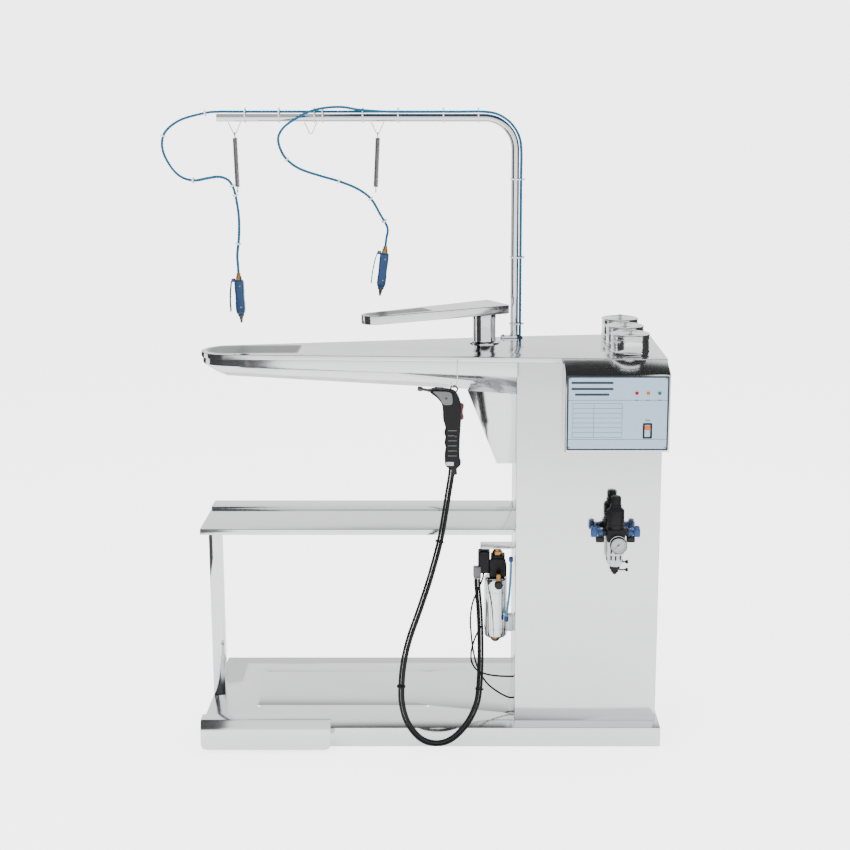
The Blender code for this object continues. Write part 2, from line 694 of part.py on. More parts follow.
def pan_sections(wall, top, ends):
    """Sections of the vacuum pan: walls down from the board, then slopes to a keel."""
    outline = inset(board_outline(), SHEET + JOINT_PLAY + wall)
    tip = min(x for x, y in outline)
    right = COLUMN_LEFT - GAP - ends
    start = tip + 0.003
    stations = [start, tip + 0.012, tip + 0.030, NOSE_X, NOSE_X + 0.18, NOSE_X + 0.40, right]
    sections = []
    for x in stations:
        share = (x - start) / (right - start)
        fade = min(1.0, (x - start) / (NOSE_X - start))
        side = BOARD_HEIGHT - PAN_DEPTH_NOSE - (PAN_DEPTH_COLUMN - PAN_DEPTH_NOSE) * share
        depth = KEEL_DEPTH_NOSE + (KEEL_DEPTH_COLUMN - KEEL_DEPTH_NOSE) * share
        keel = side - (side - (BOARD_HEIGHT - depth)) * math.sqrt(fade)
        near, far = span_at(outline, x)
        keel_half = 0.012 * fade
        middle = (near + far) / 2
        sections.append([(x, near, top), (x, near, side + wall), (x, middle - keel_half, keel + wall - 0.0001),
                         (x, middle + keel_half + 0.001, keel + wall - 0.0001), (x, far, side + wall), (x, far, top)])
    return sections


def hopper_sections(wall, right):
    """Sections of the funnel from the pan down to the column's duct opening."""
    bottom = BOARD_HEIGHT - HOPPER_DEPTH + wall
    bend = BOARD_HEIGHT - HOPPER_BEND_DEPTH
    top = BOARD_HEIGHT - PAN_DEPTH_COLUMN
    levels = [(bottom, COLUMN_LEFT - 0.044, 0.100, 0.100, 0.200), (bend, COLUMN_LEFT - 0.114, 0.114, 0.0765, 0.225),
              (top, COLUMN_LEFT - 0.0965, 0.045, 0.035, 0.265)]
    sections = []
    for height, left, near_left, near_right, far in levels:
        sections.append([(left + wall, front(near_left) + wall, height), (right, front(near_right) + wall, height),
                         (right, front(far) - wall, height), (left + wall, front(far) - wall, height)])
    return sections


def vacuum_pan():
    top = BOARD_UNDER - GAP
    pan = place("vacuum_pan", loft("vacuum_pan", pan_sections(0.0, top, 0.0)), STEEL)
    hopper = loft("hopper_outer", hopper_sections(0.0, COLUMN_LEFT - GAP))
    join(pan, helper("hopper_outer", hopper))
    inside = loft("pan_inner", pan_sections(THIN_SHEET, top + SHEET, THIN_SHEET))
    cut(pan, helper("pan_inner", inside))
    funnel = loft("hopper_inner", hopper_sections(THIN_SHEET, COLUMN_LEFT + SHEET))
    cut(pan, helper("hopper_inner", funnel))


# Sleeve board, in a frame that points its nose along -X

def sleeve_outline():
    half = SLEEVE_WIDE / 2
    corner = 0.010
    outline = arc((SLEEVE_TAIL - corner, -half + corner), corner, -90, 0, 3)
    outline += arc((SLEEVE_TAIL - corner, half - corner), corner, 0, 90, 3)
    return outline + arc((SLEEVE_NOSE_RADIUS - SLEEVE_REACH, 0), SLEEVE_NOSE_RADIUS, 94, 266, 8)


def sleeve_screen_outline():
    radius = SLEEVE_NOSE_RADIUS - SCREEN_MARGIN / 1.5
    right = SLEEVE_SCREEN_LENGTH - SLEEVE_REACH + SCREEN_MARGIN / 1.5
    low, high = span_at(inset(sleeve_outline(), SCREEN_MARGIN), right)
    corner = SCREEN_CORNER / 2
    outline = arc((right - corner, low + corner), corner, -90, 0, 2)
    outline += arc((right - corner, high - corner), corner, 0, 90, 2)
    return outline + arc((SLEEVE_NOSE_RADIUS - SLEEVE_REACH, 0), radius, 93, 267, 8)


def sleeve_board():
    turn = pivot("sleeve_pivot", (SLEEVE_X, SLEEVE_Y, SLEEVE_TOP), (0, 0, SLEEVE_TURN))
    outline = sleeve_outline()
    top = place("sleeve_top", slab("sleeve_top", outline, -SLEEVE_BAND, 0), STEEL, parent=turn)
    under = slab("sleeve_under", inset(outline, THIN_SHEET), -SLEEVE_BAND - SHEET, -THIN_SHEET)
    cut(top, helper("sleeve_under", under, parent=turn))
    window = slab("sleeve_window", inset(sleeve_screen_outline(), -GAP), -2 * SHEET, SHEET)
    cut(top, helper("sleeve_window", window, parent=turn))
    screen_data = slab("sleeve_screen", sleeve_screen_outline(), -THIN_SHEET, 0)
    screen = place("sleeve_screen", screen_data, SCREEN, parent=turn)
    holes = suction_holes(sleeve_screen_outline(), 0.030, 0.012, -2 * SHEET, SHEET)
    cut(screen, helper("sleeve_holes", holes, parent=turn))
    floor = slab("sleeve_pan", inset(outline, THIN_SHEET + GAP), THIN_SHEET - SLEEVE_BAND, 2 * THIN_SHEET - SLEEVE_BAND)
    pan = place("sleeve_pan", floor, STEEL, parent=turn)
    inner = POST_RADIUS - THIN_SHEET - JOINT_PLAY
    spigot = turned_helper("sleeve_spigot", [
        (inner, 1.5 * THIN_SHEET - SLEEVE_BAND), (inner, -SLEEVE_BAND - SPIGOT_LENGTH),
        (inner - THIN_SHEET, -SLEEVE_BAND - SPIGOT_LENGTH), (inner - THIN_SHEET, 1.5 * THIN_SHEET - SLEEVE_BAND)],
        steps=32, closed=True, parent=turn)
    join(pan, spigot)
    bore = rods("spigot_bore", ((0, 0, -SLEEVE_BAND - SHEET), (0, 0, -SLEEVE_BAND + 4 * SHEET),
                                inner - THIN_SHEET - GAP), segments=32)
    cut(pan, helper("spigot_bore", bore, parent=turn))


def sleeve_post():
    base = BOARD_HEIGHT + GAP
    top = SLEEVE_BOTTOM - JOINT_PLAY
    inner = POST_RADIUS - THIN_SHEET
    turned("sleeve_post", [(POST_RADIUS, top - base), (POST_RADIUS, 0.006), (POST_RADIUS + 0.010, 0.003),
                           (POST_RADIUS + 0.010, 0), (inner, 0), (inner, top - base)],
           CHROME, steps=32, closed=True, at=(SLEEVE_X, SLEEVE_Y, base))


# Gantry, hooks and springs

HOSE_OFFSET = math.sqrt((PIPE_RADIUS + HOSE_RADIUS + GAP) ** 2 - HOSE_SPREAD ** 2)
HOSE_X = POST_X + HOSE_OFFSET
ARM_LEFT = POST_X - ARM_REACH


def gantry():
    bend = (POST_X - GANTRY_BEND, ARM_Z - GANTRY_BEND)
    plate = 0.004
    line = [(POST_X, BOARD_HEIGHT + GAP + plate / 2)] + arc(bend, GANTRY_BEND, 0, 90, 8) + [(ARM_LEFT, ARM_Z)]
    points = [(x, POST_Y, z) for x, z in line]
    data = curve_data("gantry_pipe", points, PIPE_RADIUS, caps=False)

    def thicken(obj):
        wall = obj.modifiers.new("Wall", "SOLIDIFY")
        wall.thickness = PIPE_WALL
        wall.offset = -1

    pipe = place("gantry_pipe", smooth(settled_mesh("gantry_pipe", data, thicken)), CHROME)
    foot = boxes("gantry_foot", ((POST_X - 0.034, POST_Y - 0.012, BOARD_HEIGHT + GAP),
                                 (POST_X + PIPE_RADIUS - GAP * 3, POST_Y + 0.012, BOARD_HEIGHT + GAP + plate)))
    join(pipe, helper("gantry_foot", foot))
    bore = rods("pipe_bore", ((POST_X, POST_Y, BOARD_HEIGHT - SHEET), (POST_X, POST_Y, BOARD_HEIGHT + 3 * plate),
                              PIPE_RADIUS - 2 * PIPE_WALL), segments=8)
    cut(pipe, helper("pipe_bore", bore))


def arm_hooks():
    """Bent wires under the arm: each is a V with a rounded point."""
    under = ARM_Z - PIPE_RADIUS - GAP
    for side, along in HOOK_PLACES.items():
        x = POST_X - along
        half, low = HOOK_WIDTH / 2, under - HOOK_DROP
        bend = 0.004
        path = [(x - half, under - HOOK_WIRE), (x - half + 0.002, under - 0.004)]
        path += [(x + dx, z) for dx, z in arc((0, low + bend), bend, 205, 335, 5)]
        path += [(x + half - 0.002, under - 0.004), (x + half, under - HOOK_WIRE)]
        points = [(x, POST_Y, z) for x, z in path]
        place(f"arm_hook_{side}", curve_data(f"arm_hook_{side}", points, HOOK_WIRE), CHROME)


def balance_springs():
    """Close-wound tension springs, each with an eye at both ends."""
    wire = 0.0011
    eye = 0.005
    apex = ARM_Z - PIPE_RADIUS - GAP - HOOK_DROP
    for side, lean in (("left", 0.003), ("right", -0.006)):
        x = POST_X - HOOK_PLACES[side]
        top = apex - HOOK_WIRE - wire - GAP
        path, radii = [], []
        for dy, dz in arc((0, top + 2 * (HOOK_WIRE + wire) + GAP * 2 + 0.0005 - eye), eye, 250, -70, 9):
            path.append((x, POST_Y + dy, dz))
            radii.append(wire / SPRING_RADIUS)
        start = path[-1][2] - 0.003
        for depth, radius in ((0.0, wire), (0.003, SPRING_RADIUS), (SPRING_LENGTH - 0.030, SPRING_RADIUS),
                              (SPRING_LENGTH - 0.027, wire)):
            path.append((x + lean * depth / SPRING_LENGTH, POST_Y, start - depth))
            radii.append(radius / SPRING_RADIUS)
        low = path[-1][2] - 0.003 - eye
        for dy, dz in arc((0, low), eye, 110, -200, 9):
            path.append((x + lean, POST_Y + dy, dz))
            radii.append(wire / SPRING_RADIUS)
        name = f"balance_spring_{side}"
        place(name, curve_data(name, path, SPRING_RADIUS, radii=radii), ZINC)


# Hoses and cables: their routes are lists of (x, depth behind the base's front edge, z)

SPRAY_ROUTE_SHARED = [(0.2187, 0.930), (0.2187, 1.050), (0.2187, 1.200), (0.2187, 1.340), (0.2187, 1.412),
                      (0.2120, 1.446), (0.1926, 1.4751), (0.1636, 1.4945), (0.1295, 1.5012),
                      (0.060, 1.5012), (-0.020, 1.5012), (-0.100, 1.5014)]
SPRAY_ROUTE_LEFT = [(-0.200, 0.281, 1.5012), (-0.300, 0.281, 1.5012), (-0.400, 0.281, 1.5012),
                    (-0.470, 0.281, 1.5012), (-0.510, 0.281, 1.5012), (-0.544, 0.280, 1.4980),
                    (-0.601, 0.277, 1.4823), (-0.636, 0.273, 1.4574), (-0.647, 0.270, 1.4310),
                    (-0.643, 0.267, 1.4004), (-0.624, 0.264, 1.3662), (-0.601, 0.262, 1.3454),
                    (-0.571, 0.261, 1.3376), (-0.537, 0.260, 1.3435), (-0.510, 0.260, 1.3465),
                    (-0.489, 0.260, 1.3390), (-0.4775, 0.261, 1.3205), (-0.4715, 0.263, 1.2941),
                    (-0.467, 0.268, 1.2482), (-0.4690, 0.273, 1.1990)]
SPRAY_ROUTE_RIGHT = [(-0.170, 0.2675, 1.5060), (-0.211, 0.266, 1.5125), (-0.254, 0.262, 1.5105),
                     (-0.292, 0.257, 1.5010), (-0.324, 0.255, 1.4841), (-0.350, 0.255, 1.4660),
                     (-0.3650, 0.256, 1.4423), (-0.3616, 0.257, 1.4156), (-0.3466, 0.258, 1.3889),
                     (-0.3160, 0.259, 1.3661), (-0.2668, 0.260, 1.3490), (-0.2211, 0.260, 1.3358),
                     (-0.1755, 0.260, 1.3170), (-0.1440, 0.261, 1.2925), (-0.1240, 0.266, 1.2570)]
STEAM_ROUTE = [(0.055, 0.020, 0.687), (0.0525, 0.019, 0.665), (0.047, 0.016, 0.632), (0.039, 0.008, 0.583),
               (0.027, -0.005, 0.518), (0.004, -0.020, 0.434), (-0.021, -0.030, 0.358), (-0.046, -0.037, 0.286),
               (-0.059, -0.040, 0.227), (-0.064, -0.040, 0.173), (-0.063, -0.040, 0.128), (-0.050, -0.040, 0.081),
               (-0.021, -0.040, 0.043), (0.014, -0.040, 0.031), (0.049, -0.036, 0.040), (0.083, -0.028, 0.072),
               (0.105, -0.015, 0.111), (0.113, 0.000, 0.147), (0.117, 0.040, 0.210), (0.116, 0.085, 0.289),
               (0.112, 0.119, 0.340), (0.110, 0.129, 0.362), (0.110, 0.130, 0.3745)]
VALVE_ROUTE = [(0.1290, 0.141, 0.388), (0.1265, 0.140, 0.373), (0.115, 0.140, 0.344), (0.1015, 0.135, 0.310),
               (0.0965, 0.127, 0.275), (0.098, 0.121, 0.240), (0.103, 0.120, 0.196), (0.114, 0.120, 0.150), (0.136, 0.120, 0.110),
               (0.163, 0.120, 0.086), (0.190, 0.120, 0.071), (0.206, 0.120, 0.070)]
SENSOR_ROUTE = [(0.1275, 0.150, 0.247), (0.118, 0.150, 0.236), (0.107, 0.151, 0.210), (0.099, 0.152, 0.178),
                (0.100, 0.152, 0.150), (0.113, 0.151, 0.129), (0.137, 0.150, 0.118), (0.170, 0.150, 0.113),
                (0.206, 0.150, 0.112)]


def cord(name, points, radius, spacing, material, aside=0.0):
    route = smooth_route([(x, front(depth), z) for x, depth, z in points], spacing)
    if aside:
        route = beside(route, aside)
    place(name, curve_data(name, route, radius), material)


def gun_inlet(side):
    """The last points of a spray hose, in line with its gun."""
    (x, z), tilt = SPRAY_GUNS[side]
    return [(x + math.sin(tilt) * along, GANTRY_DEPTH, z + math.cos(tilt) * along)
            for along in (GUN_FITTING + 0.045, GUN_FITTING + 0.020, GUN_FITTING + 2 * GAP)]


def hoses_and_cables():
    rear = GANTRY_DEPTH + HOSE_SPREAD
    near = GANTRY_DEPTH - HOSE_SPREAD
    left = [(x, rear, z) for x, z in SPRAY_ROUTE_SHARED] + SPRAY_ROUTE_LEFT + gun_inlet("left")
    right = [(x, near, z) for x, z in SPRAY_ROUTE_SHARED] + SPRAY_ROUTE_RIGHT + gun_inlet("right")
    cord("spray_hose_left", left, HOSE_RADIUS, 0.033, BLUE_HOSE)
    cord("spray_hose_right", right, HOSE_RADIUS, 0.033, BLUE_HOSE)
    cord("steam_hose", STEAM_ROUTE, STEAM_HOSE_RADIUS, 0.026, BLACK_RUBBER)
    cable = STEAM_HOSE_RADIUS + STEAM_CABLE_RADIUS + GAP
    cord("steam_cable", STEAM_ROUTE, STEAM_CABLE_RADIUS, 0.026, BLACK_RUBBER, aside=-cable)
    cord("valve_cable", VALVE_ROUTE, WIRE_RADIUS, 0.014, BLACK_RUBBER)
    cord("sensor_cable", SENSOR_ROUTE, WIRE_RADIUS, 0.014, BLACK_RUBBER)


# Spray guns, each in a frame that hangs from its hose

SPRAY_GUNS = {"left": ((POST_X - 0.6767, ARM_Z - 0.3933), math.radians(-2)),
              "right": ((POST_X - 0.3180, ARM_Z - 0.3270), math.radians(7))}
GUN_FITTING = 0.0172
GUN_WIDTH = 0.022
GUN_DEPTH = 0.024
GUN_LENGTH = 0.084
LEVER_PIVOT = (-0.0155, 0.001)


def spray_guns():
    for side, ((x, z), tilt) in SPRAY_GUNS.items():
        hang = pivot(f"spray_gun_{side}_hang", (x, POST_Y, z), (0, tilt, 0))
        name = f"spray_gun_{side}"
        half = (GUN_WIDTH / 2, GUN_DEPTH / 2)
        body = place(name, boxes(name, ((-half[0], -half[1], -GUN_LENGTH), (half[0], half[1], 0))),
                     BLUE_METAL, parent=hang)
        bevel(body, 0.004, 1)
        fitting = turned_helper(f"{name}_fitting", [(0, GUN_FITTING), (0.0055, GUN_FITTING), (0.0055, 0.011),
                                                    (0.007, 0.011), (0.007, -0.004), (0, -0.004)],
                                 steps=12, parent=hang)
        join(body, fitting)
        ears = boxes(f"{name}_ears", *(((-0.0175, y, -0.004), (-half[0] + 0.002, y + 0.002, 0.003))
                                       for y in (-0.0095, 0.0075)))
        join(body, helper(f"{name}_ears", ears, parent=hang))
        turned(f"spray_nozzle_{side}", [(0, -0.0003), (0.0075, -0.0003), (0.0075, -0.006), (0.005, -0.009),
                                        (0.0022, -0.0225), (0, -0.0225)],
               DARK_METAL, steps=16, at=(0, 0, -GUN_LENGTH), parent=hang)
        lever_pivot = pivot(f"spray_lever_{side}_pivot", (LEVER_PIVOT[0], 0, LEVER_PIVOT[1]))
        lever_pivot.parent = hang
        spray_lever(side, lever_pivot)


def spray_lever(side, parent):
    name = f"spray_lever_{side}"
    half = 0.0065
    outer = [(-0.0018, -0.001), (-0.0048, -0.012), (-0.0090, -0.045), (-0.0095, -0.078)]
    inner = [(x + 0.0025, z) for x, z in outer]
    sections = [[(x, y, z) for x, z in outer + inner[::-1]] for y in (-half, half)]
    lever = place(name, loft(name, sections), BLACK_PLASTIC, parent=parent)
    barrel = rods(f"{name}_barrel", ((0, -half, 0), (0, half, 0), 0.0026), segments=12)
    join(lever, helper(f"{name}_barrel", barrel, parent=parent))


# Steam gun, in a frame at the bottom of its grip

STEAM_GUN_AT = (COLUMN_LEFT - 0.1493, front(0.020), BOARD_HEIGHT - 0.2598)
STEAM_GUN_OUTLINE = [(0.0073, 0.0), (0.0138, 0.0018), (0.0196, 0.0110), (0.0165, 0.0239), (0.0174, 0.0697),
                     (0.0198, 0.1101), (0.0195, 0.1250), (0.0184, 0.1541), (0.0101, 0.1743), (-0.0018, 0.1831),
                     (-0.0330, 0.1875), (-0.0459, 0.1863), (-0.0514, 0.1830), (-0.0500, 0.1780),
                     (-0.0367, 0.1679), (-0.0266, 0.1560), (-0.0229, 0.1431), (-0.0217, 0.1174),
                     (-0.0184, 0.1046), (-0.0161, 0.0936), (-0.0190, 0.0835), (-0.0160, 0.0716),
                     (-0.0187, 0.0606), (-0.0160, 0.0477), (-0.0184, 0.0312), (-0.0165, 0.0073), (-0.0073, 0.0)]
TRIGGER_LOW, TRIGGER_HIGH = 0.1140, 0.1505
TRIGGER_HALF = 0.009
UPRIGHT = (math.pi / 2, 0, 0)


def steam_gun():
    hang = pivot("steam_gun_hang", STEAM_GUN_AT)
    data = slab("steam_gun", STEAM_GUN_OUTLINE, -0.017, 0.017, 0.004)
    data.transform(Matrix.Rotation(math.pi / 2, 4, "X"))
    gun = place("steam_gun", data, BLACK_PLASTIC, parent=hang)
    pocket = boxes("trigger_pocket", ((0.0085, -TRIGGER_HALF - JOINT_PLAY / 2, TRIGGER_LOW - JOINT_PLAY / 2),
                                      (0.030, TRIGGER_HALF + JOINT_PLAY / 2, TRIGGER_HIGH + JOINT_PLAY / 2)))
    cut(gun, helper("trigger_pocket", pocket, parent=hang))
    ring = bmesh.new()
    ring_at = Matrix.Translation((RING_X, 0, RING_Z)) @ Matrix.Rotation(math.pi / 2, 4, "X")
    ring_mesh = turned_ring(ring, RING_RADIUS, RING_WIRE, ring_at)
    join(gun, helper("hanging_ring", ring_mesh, parent=hang))
    nozzle = turned_data("steam_gun_nozzle", [(0, 0.0295), (0.0055, 0.0295), (0.0055, 0.0225), (0.0032, 0.0215),
                                              (0.0034, 0.0003), (0, 0.0003)])
    tip = place("steam_gun_nozzle", nozzle, DARK_METAL, at=(-0.0516, 0, 0.1818), turn=(0, math.radians(-80), 0),
                parent=hang)
    screw(tip, 16)
    trigger = boxes("steam_gun_trigger", ((0.0125, -TRIGGER_HALF, TRIGGER_LOW), (0.0270, TRIGGER_HALF, TRIGGER_HIGH)))
    bevel(place("steam_gun_trigger", trigger, RED_BUTTON, parent=hang), 0.003)


RING_X, RING_Z = 0.0036, 0.1853
RING_RADIUS = 0.0078
RING_WIRE = 0.0017


def turned_ring(shape, radius, wire, matrix):
    """A closed ring of round wire about the matrix's Z axis."""
    bmesh.ops.create_circle(shape, segments=6, radius=wire,
                            matrix=Matrix.Translation((radius, 0, 0)) @ Matrix.Rotation(math.pi / 2, 4, "X"))
    bmesh.ops.spin(shape, geom=shape.verts[:] + shape.edges[:], axis=(0, 0, 1), cent=(0, 0, 0),
                   angle=2 * math.pi, steps=16, use_merge=True)
    bmesh.ops.remove_doubles(shape, verts=shape.verts, dist=0.00001)
    bmesh.ops.transform(shape, matrix=matrix, verts=shape.verts)
    return mesh_of("ring", shape)


def steam_gun_hook():
    """A bent wire from the board's front flange through the gun's hanging ring."""
    x, y, z = STEAM_GUN_AT
    x, z = x + RING_X, z + RING_Z
    wire = 0.0011
    rest = z + RING_RADIUS - RING_WIRE - wire - GAP
    flange = BOARD_HEIGHT - BOARD_FLANGE
    points = [(x + 0.0090, front(0.0205), flange + 0.006), (x + 0.0082, front(0.0205), flange - 0.003),
              (x + 0.0078, front(0.0225), flange - 0.022), (x + 0.0072, y + 0.0058, rest + 0.016),
              (x + 0.0052, y + 0.0056, rest + 0.0060), (x + 0.0028, y + 0.0035, rest + 0.0008),
              (x, y, rest), (x - 0.0028, y - 0.0036, rest + 0.0010), (x - 0.0052, y - 0.0055, rest + 0.0062),
              (x - 0.0068, y - 0.0058, rest + 0.0145)]
    place("steam_gun_hook", curve_data("steam_gun_hook", points, wire), CHROME)


# Reagent jars

def jars():
    x = BOARD_RIGHT - JAR_RIGHT_INSET
    for index, depth in enumerate(JAR_DEPTHS, 1):
        at = (x, front(depth), BOARD_HEIGHT + GAP)
        outer, inner = JAR_RADIUS, JAR_RADIUS - JAR_WALL
        turned(f"reagent_jar_{index}", [(outer, JAR_HEIGHT), (outer, 0.0015), (outer - 0.0015, 0), (0, 0),
                                        (0, JAR_WALL), (inner, JAR_WALL), (inner, JAR_HEIGHT)],
               STEEL, closed=True, at=at)
        lid_at = (x, front(depth), BOARD_HEIGHT + 2 * GAP + JAR_HEIGHT)
        lip = inner - JOINT_PLAY / 2
        turned(f"jar_lid_{index}", [
            (0, 0.0117), (0.0052, 0.0105), (0.0030, 0.0035), (outer - 0.002, 0.0035), (outer + 0.001, 0.0),
            (lip, 0.0), (lip, -0.004), (0, -0.004)],
            STEEL, at=lid_at)


# Control box

BOX_RIGHT = BOARD_RIGHT - 0.002
BOX_LEFT = BOX_RIGHT - BOX_WIDTH
BOX_BOTTOM = BOARD_HEIGHT - BOX_BOTTOM_DROP
BOX_TOP = BOARD_HEIGHT - BOX_TOP_DROP
LAMP_X = BOX_RIGHT - 0.0503
LAMP_Z = BOARD_HEIGHT - LAMP_DROP
ROCKER_X = LAMP_X
ROCKER_Z = BOARD_HEIGHT - ROCKER_DROP


def control_box():
    under = BOARD_HEIGHT - BOARD_FLANGE - 2 * GAP
    lip = BASE_FRONT - 0.003
    face = front(BOX_FRONT_DEPTH)
    back = COLUMN_FRONT - GAP
    profile = [(face, BOX_BOTTOM), (face, BOX_TOP), (lip, BOARD_HEIGHT - 0.0015), (lip, under), (back, under),
               (back, BOX_BOTTOM)]
    sections = [[(x, y, z) for y, z in profile] for x in (BOX_LEFT, BOX_RIGHT)]
    box = place("control_box", loft("control_box", sections), STEEL)
    wall = THIN_SHEET
    inside = [(face + wall, BOX_BOTTOM + wall), (face + wall, BOX_TOP - wall), (lip - 0.012, under - 2 * wall),
              (back + wall, under - 2 * wall), (back + wall, BOX_BOTTOM + wall)]
    sections = [[(x, y, z) for y, z in inside] for x in (BOX_LEFT + wall, BOX_RIGHT - wall)]
    cut(box, helper("box_hollow", loft("box_hollow", sections)))
    lamps = rods("lamp_holes", *(((LAMP_X + LAMP_SPACING * step, face - SHEET, LAMP_Z),
                                  (LAMP_X + LAMP_SPACING * step, face + 3 * SHEET, LAMP_Z), LAMP_SHANK + GAP)
                                 for step in (-1, 0, 1)))
    cut(box, helper("lamp_holes", lamps))
    half = (ROCKER_WIDTH / 2 + JOINT_PLAY, ROCKER_HEIGHT / 2 + JOINT_PLAY)
    switch = boxes("rocker_hole", ((ROCKER_X - half[0], face - SHEET, ROCKER_Z - half[1]),
                                   (ROCKER_X + half[0], face + 3 * SHEET, ROCKER_Z + half[1])))
    cut(box, helper("rocker_hole", switch))
    lenses = (("lamp_red", RED_LENS, -1), ("lamp_amber", AMBER_LENS, 0), ("lamp_green", GREEN_LENS, 1))
    for name, lens, step in lenses:
        turned(name, [(0, 0.0045), (0.003, 0.0040), (0.0045, 0.0026), (LAMP_RADIUS, 0.0020), (LAMP_RADIUS, GAP),
                      (LAMP_SHANK, GAP), (LAMP_SHANK, -0.016), (0, -0.016)], lens, steps=16,
               at=(LAMP_X + LAMP_SPACING * step, face, LAMP_Z), turn=UPRIGHT)


def power_rocker():
    """A rocker with two faces that meet at a shallow angle over its pin."""
    depth = 0.009
    half = ROCKER_HEIGHT / 2
    rise = half * math.sin(math.radians(ROCKER_TILT))
    profile = [(-0.0008, 0), (-0.0008 - rise, half - 0.001), (depth * 0.4, half - 0.002), (depth, half * 0.45),
               (depth, -half * 0.45), (depth * 0.4, -half + 0.002), (-0.0008 - rise, -half + 0.001)]
    sections = [[(x, y, z) for y, z in profile] for x in (-ROCKER_WIDTH / 2, ROCKER_WIDTH / 2)]
    place("power_rocker", loft("power_rocker", sections), ORANGE_LENS,
          at=(ROCKER_X, front(BOX_FRONT_DEPTH), ROCKER_Z), turn=(math.radians(ROCKER_TILT), 0, 0))


# Filter, regulator and gauge

REGULATOR_X = COLUMN_RIGHT - REGULATOR_RIGHT
REGULATOR_Y = COLUMN_FRONT - REGULATOR_STAND_OFF
GAUGE_AT = (REGULATOR_X + 0.004, REGULATOR_Y - BLOCK_SIZE / 2 - GAP, REGULATOR_HEIGHT - 0.0162)


def filter_regulator():
    at = (REGULATOR_X, REGULATOR_Y, REGULATOR_HEIGHT)
    half = BLOCK_SIZE / 2
    block = boxes("filter_regulator", ((-half, -half, -0.014), (half, half, 0.016)))
    body = place("filter_regulator", block, BLACK_PLASTIC, at=at)
    bevel(body, 0.003, 1)
    bonnet = turned_helper("regulator_bonnet", [(0, 0.0685), (0.013, 0.0685), (0.016, 0.062), (BONNET_RADIUS, 0.060),
                                                (BONNET_RADIUS, 0.012), (0, 0.012)], at=at)
    join(body, bonnet)
    ports = bmesh.new()
    add_rod(ports, (-0.046, 0, 0.004), (0.046, 0, 0.004), 0.0085, 16)
    join(body, helper("regulator_ports", mesh_of("ports", ports), at=at))
    elbows = boxes("regulator_elbows", *(((x - 0.008, -0.008, -0.006), (x + 0.008, 0.008, 0.014))
                                         for x in (-0.050, 0.050)))
    join(body, helper("regulator_elbows", elbows, at=at))
    arm = boxes("regulator_bracket", ((-0.012, half - 0.003, -0.008), (0.012, REGULATOR_STAND_OFF - GAP, 0.010)))
    join(body, helper("regulator_bracket", arm, at=at))
    turned("regulator_knob", [(0, 0.024), (0.0105, 0.024), (0.012, 0.022), (0.012, 0.004), (0.0135, 0.003),
                              (0.0135, 0), (0, 0)], BLACK_PLASTIC,
           at=(REGULATOR_X, REGULATOR_Y, REGULATOR_HEIGHT + 0.0685 + GAP))
    turned("filter_bowl", [(0.0175, 0), (0.0185, -0.006), (0.0185, -0.050), (0.015, -0.062), (0.006, -0.066),
                           (0, -0.066), (0, -0.064), (0.006, -0.064), (0.0135, -0.0605), (0.0165, -0.050),
                           (0.0165, 0)], CLEAR_BOWL, closed=True,
           at=(REGULATOR_X, REGULATOR_Y, REGULATOR_HEIGHT - 0.014 - GAP))
    turned("bowl_drain", [(0, 0), (0.0055, 0), (0.0055, -0.006), (0.008, -0.0065), (0.008, -0.012), (0.0045, -0.013),
                          (0.0045, -0.017), (0, -0.017)], BLACK_PLASTIC, steps=16,
           at=(REGULATOR_X, REGULATOR_Y, REGULATOR_HEIGHT - 0.080 - 2 * GAP))
    turned("pressure_gauge", [(GAUGE_RADIUS - 0.0018, 0.018), (GAUGE_RADIUS, 0.0165), (GAUGE_RADIUS, 0.005),
                              (0.007, 0.003), (0.007, 0), (0, 0), (0, 0.012), (GAUGE_RADIUS - 0.0018, 0.012)],
           WHITE_PLASTIC, closed=True, at=GAUGE_AT, turn=UPRIGHT)
    zero = (math.pi / 2, -NEEDLE_ZERO, 0)
    hand = boxes("gauge_needle", ((-0.0007, -0.004, 0.0128), (0.0007, 0.0135, 0.0136)))
    needle = place("gauge_needle", hand, BLACK_PLASTIC, at=GAUGE_AT, turn=zero)
    hub = rods("needle_hub", ((0, 0, 0.0124), (0, 0, 0.0144), 0.0022), segments=12)
    join(needle, helper("needle_hub", hub, at=GAUGE_AT, turn=zero))


# Steam valve group under the shelf

SEPARATOR_AT = (COLUMN_LEFT - 0.044, front(0.150), 0.2225)
SEPARATOR_RADIUS = 0.0285
SEPARATOR_HEIGHT = 0.1545


def moisture_separator():
    radius, height = SEPARATOR_RADIUS, SEPARATOR_HEIGHT
    vessel = turned("moisture_separator", [
        (0, height), (radius - 0.004, height), (radius, height - 0.004), (radius, 0.004), (radius - 0.003, 0),
        (0.012, -0.001), (0.0115, -0.008), (0.008, -0.0145), (0, -0.0160)], STEEL, steps=28, at=SEPARATOR_AT)
    reach = COLUMN_LEFT - GAP - SEPARATOR_AT[0]
    foot = boxes("separator_port", ((radius - 0.004, -0.008, 0.012), (reach, 0.008, 0.055)))
    join(vessel, helper("separator_port", foot, at=SEPARATOR_AT))


